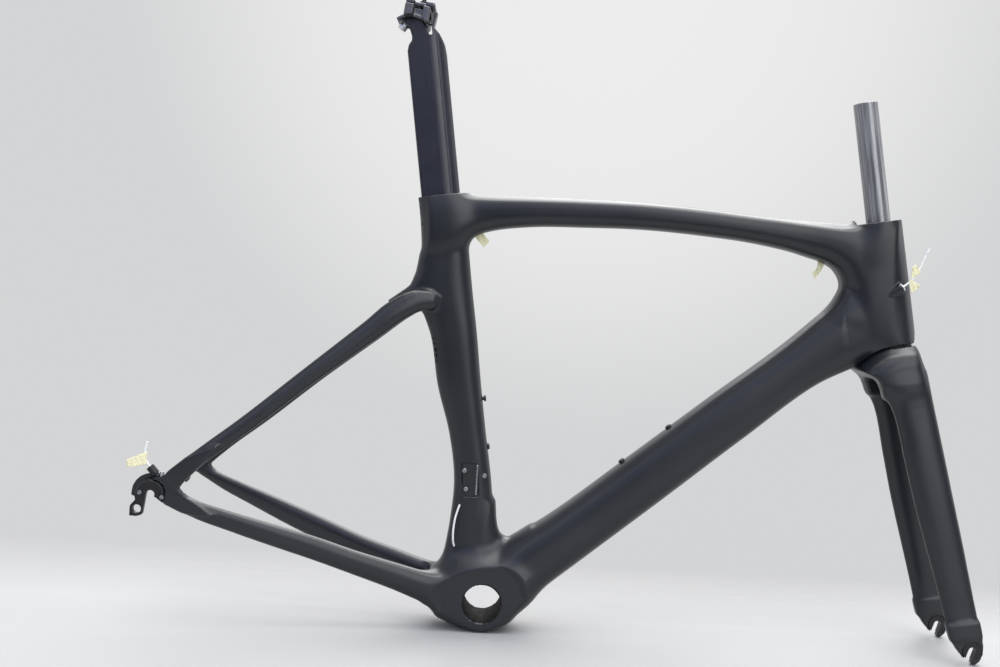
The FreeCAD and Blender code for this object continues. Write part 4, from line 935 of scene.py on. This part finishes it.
fork_axes = [
    lines((-58, 2.2), 60),
    lines((-64, 1.9), 64),
    lines((-548, 1.5), (-494, 2.8), (-226, 1.9), -158),
]
skin("fork_skin", fork_field(), fork_axes, "fork", "carbon",
     ["fork_crown", "right_fork_blade", "left_fork_blade"],
     HEAD_DATUM, [HEAD_AHEAD, AXIS_Y, HEAD_UP])


# ---- steerer -------------------------------------------------------------------------------
def lathe(name, profile, origin, axis, side, body, slot, nodes, segments=96):
    """A turned piece from closed (radius, height) pairs about axis."""
    across = np.cross(axis, side)
    points, faces = [], []
    for radius, height in profile:
        for step in range(segments):
            angle = 2 * math.pi * step / segments
            spoke = side * math.cos(angle) + across * math.sin(angle)
            points.append(origin + axis * height + spoke * radius)
    rows = len(profile)
    for i in range(rows):
        j = (i + 1) % rows
        for a in range(segments):
            b = (a + 1) % segments
            faces.append((i * segments + a, i * segments + b, j * segments + b, j * segments + a))
    made = make_piece(name, points, faces, body, slot, nodes)
    edge = made.modifiers.new("edges", "EDGE_SPLIT")
    edge.split_angle = math.radians(40)


STEERER_R, STEERER_FOOT_R, STEERER_BORE_R = 14.3, 16.4, 11.7
STEERER_TOP, STEERER_END = 134.4, -172.0


def steerer_profile():
    outer = [(13.9, STEERER_TOP), (STEERER_R, 134.0)]
    outer += [(STEERER_R, h) for h in np.linspace(130, -9.9, 24)]
    outer += [(STEERER_FOOT_R, -130.0), (STEERER_FOOT_R, STEERER_END)]
    inner = [(STEERER_BORE_R, STEERER_END)] + [(STEERER_BORE_R, h) for h in np.linspace(-160, 133.9, 20)]
    inner.append((12.1, STEERER_TOP))
    return (outer + inner)[::-1]


lathe("steerer_skin", steerer_profile(), HEAD_DATUM, HEAD_UP, HEAD_AHEAD, "fork",
      "steerer_carbon", ["steerer_tube"])


# ---- seatpost ------------------------------------------------------------------------------
# the rear adjuster's place and direction from the tilt axis, level and up
ADJUSTER, ADJUSTER_WAY = (-6.0, 21.5), (-0.4512, -0.8924)


def post_field():
    section, inner = outline_distance(post_outline(0.0)), outline_distance(post_outline(-2.4))
    flank = outline_distance([
        (-40, -160), (-40, 176), (-23.35, 178), (-20.8, 183), (-16.8, 187.6), (-16.3, 192.5), (-18.4, 203.2),
        (-21.6, 206), (-34, 208), (-34, 225), (20, 225), (11.2, 201),
        (16.9, 192.8), (19.6, 186.7), (22.8, 178.7),
        (24.5, 170), (40, 160), (40, -160),
    ])
    plate_angle = math.pi / 2 - SEAT_ANGLE

    def field(p, y, s):
        shaft = section(p, y)
        groove = np.hypot(p - 13.75, np.abs(y) - 11.6) - 1.0
        shaft = soft_max(shaft, -groove, 0.5)
        post = soft_max(shaft, flank(p, s), 3.0)
        drum = slab(np.hypot(p - TILT[0], s - TILT[1]) - 23.0, y, 12.0, 1.0)
        post = np.where(s > TILT[1], np.maximum(post, np.minimum(drum, 8.5 - p)), post)
        post = np.maximum(post, -130.0 - s)
        post = np.maximum(post, -np.maximum(inner(p, y), s - 168.0))
        x = (p - TILT[0]) * math.cos(plate_angle) - (s - TILT[1]) * math.sin(plate_angle)
        z = (p - TILT[0]) * math.sin(plate_angle) + (s - TILT[1]) * math.cos(plate_angle)
        dx, dz = x - ADJUSTER[0], z - ADJUSTER[1]
        run = dx * ADJUSTER_WAY[0] + dz * ADJUSTER_WAY[1]
        off = np.abs(dx * -ADJUSTER_WAY[1] + dz * ADJUSTER_WAY[0])
        room = slab(off - 8.2, y, 5.9, 2.0)
        room = np.maximum(room, run - 19.0)
        return soft_max(post, -room, 0.8)

    return field


post_axes = [
    lines((-36, 1.2), (12, 0.5), (16, 1.1), 26),
    lines((-14, 1.1), 14),
    lines((-131.5, 3.6), (164, 1.1), 218),
]
skin("seatpost_skin", post_field(), post_axes, "seatpost", "post_carbon", ["seatpost"],
     SEAT_TOP, [SEAT_AHEAD, AXIS_Y, SEAT_UP])


# ---- saddle clamp --------------------------------------------------------------------------
RAIL_Y, RAIL_Z, RAIL_R = 22.0, 36.5, 3.5
CENTRE_BOLT_X, CENTRE_BOLT_R = 7.7, 2.6


def cut_for_rails_and_bolt(body, x, y, z):
    rail = np.hypot(np.abs(y) - RAIL_Y, z - RAIL_Z) - RAIL_R
    body = soft_max(body, -rail, 0.5)
    return soft_max(body, CENTRE_BOLT_R - np.hypot(x - CENTRE_BOLT_X, y), 0.4)


def cradle_field():
    def field(x, y, z):
        radius = np.hypot(x, z)
        angle = np.degrees(np.arctan2(z, x))
        ring = slab(np.abs(radius - 24.8) - 1.5, y, 16.0, 0.5)
        ring = np.maximum(ring, np.maximum(40.0 - angle, angle - 138.0) * 0.43)
        rear = box_distance(x, y, z, (-11, -28, 20), (-0.5, 28, 36.4), 2.0)
        front = box_distance(x, y, z, (10.5, -28, 17), (19.5, 28, 36.4), 2.0)
        middle = box_distance(x, y, z, (-2, -15, 20), (11, 15, 34), 1.2)
        blocks = soft_min(np.minimum(rear, front), middle, 1.5)
        blocks = np.maximum(blocks, 23.3 - radius)
        body = soft_min(ring, blocks, 1.6)
        return cut_for_rails_and_bolt(body, x, y, z)

    return field


def top_clamp_field():
    def field(x, y, z):
        rear = box_distance(x, y, z, (-11, -28, 36.6), (-0.8, 28, 42), 1.6)
        front = box_distance(x, y, z, (13, -28, 36.6), (23.8, 28, 41.5), 1.6)
        bridge = box_distance(x, y, z, (-3, -17, 36.6), (15, 17, 41), 1.0)
        body = soft_min(np.minimum(rear, front), bridge, 1.5)
        return cut_for_rails_and_bolt(body, x, y, z)

    return field


clamp_step = 0.9
level = [np.array([1.0, 0, 0]), AXIS_Y, np.array([0, 0, 1.0])]
cradle_axes = [lines((-22, clamp_step), 24), lines((-30, clamp_step), 30), lines((13, clamp_step), 39)]
skin("cradle_skin", cradle_field(), cradle_axes, "saddle_clamp", "black_alloy", ["saddle_cradle"],
     TILT_POINT, level, finish="clamp_alloy")
top_axes = [lines((-13, clamp_step), 26), lines((-30, clamp_step), 30), lines((35, clamp_step), 44)]
skin("top_clamp_skin", top_clamp_field(), top_axes, "saddle_clamp", "black_alloy",
     ["saddle_top_clamp"], TILT_POINT, level, finish="clamp_alloy")


# ---- derailleur hanger ---------------------------------------------------------------------
HANGER_EYE, HANGER_EYE_RIM, HANGER_THREAD_R = (-417.3, 43.6), 7.8, 5.0


def hanger_field():
    cut = outline_distance([(-440, 62), (-410, 52), (-399, 61), (-388.5, 55.5), (-380, 50), (-380, 30),
                            (-440, 30)])
    leg = outline_distance([(-422.5, 66), (-421, 54), (-425.5, 46), (-424.6, 34), (-417, 35), (-411, 38),
                            (-407.6, 47.5), (-408.5, 62)])
    bolts = [(-391.4, 62.2), (-417.7, 63.1)]

    def field(x, y, z):
        axle = np.hypot(x - REAR_AXLE[0], z - REAR_AXLE[1])
        plan = soft_max(axle - ARCH_R, -cut(x, z), 1.5)
        plan = soft_min(plan, leg(x, z), 2.5)
        eye = np.hypot(x - HANGER_EYE[0], z - HANGER_EYE[1])
        plan = soft_min(plan, eye - HANGER_EYE_RIM, 2.0)
        slot = np.where(z < REAR_AXLE[1], np.abs(x - REAR_AXLE[0]), axle) - AXLE_R
        plan = soft_max(plan, -slot, 0.6)
        body = slab(plan, y + 68.5, 3.5, 0.8)
        body = soft_max(body, HANGER_THREAD_R - eye, 0.5)
        for bx, bz in bolts:
            off = np.hypot(x - bx, z - bz)
            body = soft_max(body, -np.maximum(off - 2.9, y + 70.2), 0.4)
            body = np.maximum(body, 1.5 - off)
        chamfer = (axle - ARCH_R - y - 72.0 + 2.6) / 1.414 - 3.0 * np.maximum(62.0 - z, 0)
        return soft_max(body, chamfer, 0.3)

    return field


hanger_step = 0.85
hanger_axes = [lines((-428, hanger_step), -385), lines((-73.5, hanger_step), -63.5),
               lines((32, hanger_step), 83)]
skin("hanger_skin", hanger_field(), hanger_axes, "frame", "black_alloy", ["derailleur_hanger"])


# ---- front edge of the derailleur mount ----------------------------------------------------
def mount_edge_field():
    edge = outline_distance([(-37.6, 161.5), (-35.6, 161.0), (-30.6, 125.5), (-32.8, 125.0)])

    def field(x, y, z):
        return slab(edge(x, z), y + 16.6, 1.3, 0.4)

    return field


edge_step = 0.5
edge_axes = [lines((-39, edge_step), -29), lines((-18.6, edge_step), -14.6), lines((123, edge_step), 163)]
skin("mount_edge", mount_edge_field(), edge_axes, "frame", "bolt_steel", [], finish="worn_steel")


# ---- CAD nodes that are shown --------------------------------------------------------------
replaced = {node for piece in bpy.data.objects for node in piece.get("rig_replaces", [])}
slots = {part["node"]: part["material_slot"] for part in frame["record"]["subparts"]}
OWN_FINISH = {"hanger_bolts": "worn_steel", "derailleur_mount_bolts": "worn_steel",
              "front_derailleur_mount": "race_black",
              "upper_bearing": "race_black", "lower_bearing": "race_black",
              "compression_ring": "race_black", "crown_race": "race_black"}
for name, node in frame["nodes"].items():
    if name in replaced or node.type != "MESH":
        continue
    node.data.materials.clear()
    node.data.materials.append(FINISHES[OWN_FINISH.get(name, slots[name])].material)


# ---- studio --------------------------------------------------------------------------------
FLOOR_TILT = math.radians(8.0)
FLOOR_DEPTH = 35.6          # under the bottom bracket's axis, square to the floor


def make_floor():
    """Pale floor that carries the bottom bracket and the fork's tips, fading out behind the frame."""
    finish = Finish("pale_floor", (0.33, 0.33, 0.332), 0.6, specular=0.2)
    finish.vary_color(finish.noise(3.0, 4.0), (0.323, 0.323, 0.325), (0.337, 0.337, 0.339))
    finish.vary_roughness(finish.noise(6.0, 3.0), 0.45, 0.6)
    split = finish.node("ShaderNodeSeparateXYZ")
    finish.link(finish.coords.outputs["Object"], split.inputs["Vector"])
    finish.link(finish.span(split.outputs["Y"], 1.0, 0.0, 0.05, 0.34), finish.shader.inputs["Alpha"])
    low, high = -1.6, 1.8
    near, back = -1.5, 0.35
    drop = FLOOR_DEPTH * MM / math.cos(FLOOR_TILT)
    across, deep = 24, 24
    points, faces = [], []
    for i in range(across + 1):
        for j in range(deep + 1):
            x = low + (high - low) * i / across
            y = near + (back - near) * j / deep
            points.append((x, y, -drop + x * math.tan(FLOOR_TILT)))
    for i in range(across):
        for j in range(deep):
            a = i * (deep + 1) + j
            faces.append((a, a + deep + 1, a + deep + 2, a + 1))
    mesh = bpy.data.meshes.new("floor")
    mesh.from_pydata(points, [], faces)
    mesh.materials.append(finish.material)
    add_object("floor", mesh)


def make_light(name, place, target, size, power):
    data = bpy.data.lights.new(name, "AREA")
    data.shape = "RECTANGLE"
    data.size, data.size_y = size
    data.energy = power
    light = add_object(name, data)
    light.location = place
    light.visible_camera = False
    light.rotation_mode = "QUATERNION"
    light.rotation_quaternion = (Vector(place) - Vector(target)).to_track_quat("Z", "Y")


# soft patches of the studio: direction, cosine where it starts, cosine where it is full, colour
STUDIO_BASE = (0.655, 0.66, 0.668)
STUDIO_PATCHES = [
    ((0.03, 0.96, 0.26), 0.92, 1.0, (0.84, 0.84, 0.84)),
    ((0.0, -1.0, 0.0), -0.1, 0.7, (0.12, 0.13, 0.15)),
    ((0.1, -0.62, 0.78), 0.78, 0.97, (2.2, 2.25, 2.4)),
    ((-0.2, -0.9, 0.38), 0.93, 0.99, (0.65, 0.72, 1.15)),
    ((0.33, -0.9, 0.29), 0.955, 0.99, (3.6, 3.65, 3.7)),
    ((0.33, -0.82, 0.45), 0.94, 0.99, (2.9, 2.95, 3.0)),
    ((0.0, 0.62, 0.78), 0.84, 0.97, (5.5, 5.5, 5.5)),
    ((0.05, 0.0, 1.0), 0.86, 0.97, (6.0, 6.0, 6.0)),
    ((0.97, 0.2, 0.1), 0.86, 0.98, (1.2, 1.2, 1.25)),
    ((-0.9, -0.35, 0.25), 0.86, 0.98, (0.75, 0.78, 1.05)),
]


def make_world():
    """Pale studio, dark behind the camera, with a large soft light overhead."""
    world = bpy.data.worlds.new("studio")
    world.use_nodes = True
    tree = world.node_tree
    coords = tree.nodes.new("ShaderNodeTexCoord")
    color = None
    for direction, start, full, tint in STUDIO_PATCHES:
        dot = tree.nodes.new("ShaderNodeVectorMath")
        dot.operation = "DOT_PRODUCT"
        dot.inputs[1].default_value = Vector(direction).normalized()
        tree.links.new(coords.outputs["Generated"], dot.inputs[0])
        spread = tree.nodes.new("ShaderNodeMapRange")
        spread.interpolation_type = "SMOOTHSTEP"
        spread.inputs["From Min"].default_value = start
        spread.inputs["From Max"].default_value = full
        tree.links.new(dot.outputs["Value"], spread.inputs["Value"])
        mix = tree.nodes.new("ShaderNodeMix")
        mix.data_type = "RGBA"
        first, second = [socket for socket in mix.inputs if socket.type == "RGBA"]
        first.default_value = (*STUDIO_BASE, 1.0)
        second.default_value = (*tint, 1.0)
        if color is not None:
            tree.links.new(color, first)
        tree.links.new(spread.outputs["Result"], mix.inputs["Factor"])
        color = [socket for socket in mix.outputs if socket.type == "RGBA"][0]
    tree.links.new(color, tree.nodes["Background"].inputs["Color"])
    bpy.context.scene.world = world


make_floor()
make_world()
make_light("overhead", (0.0, -0.2, 2.2), (0.1, 0.0, 0.2), (2.0, 1.2), 9.0)
make_light("front_left", (-1.6, -2.0, 1.3), (0.0, 0.0, 0.3), (1.0, 1.0), 3.0)
bpy.context.scene.view_settings.view_transform = "Standard"
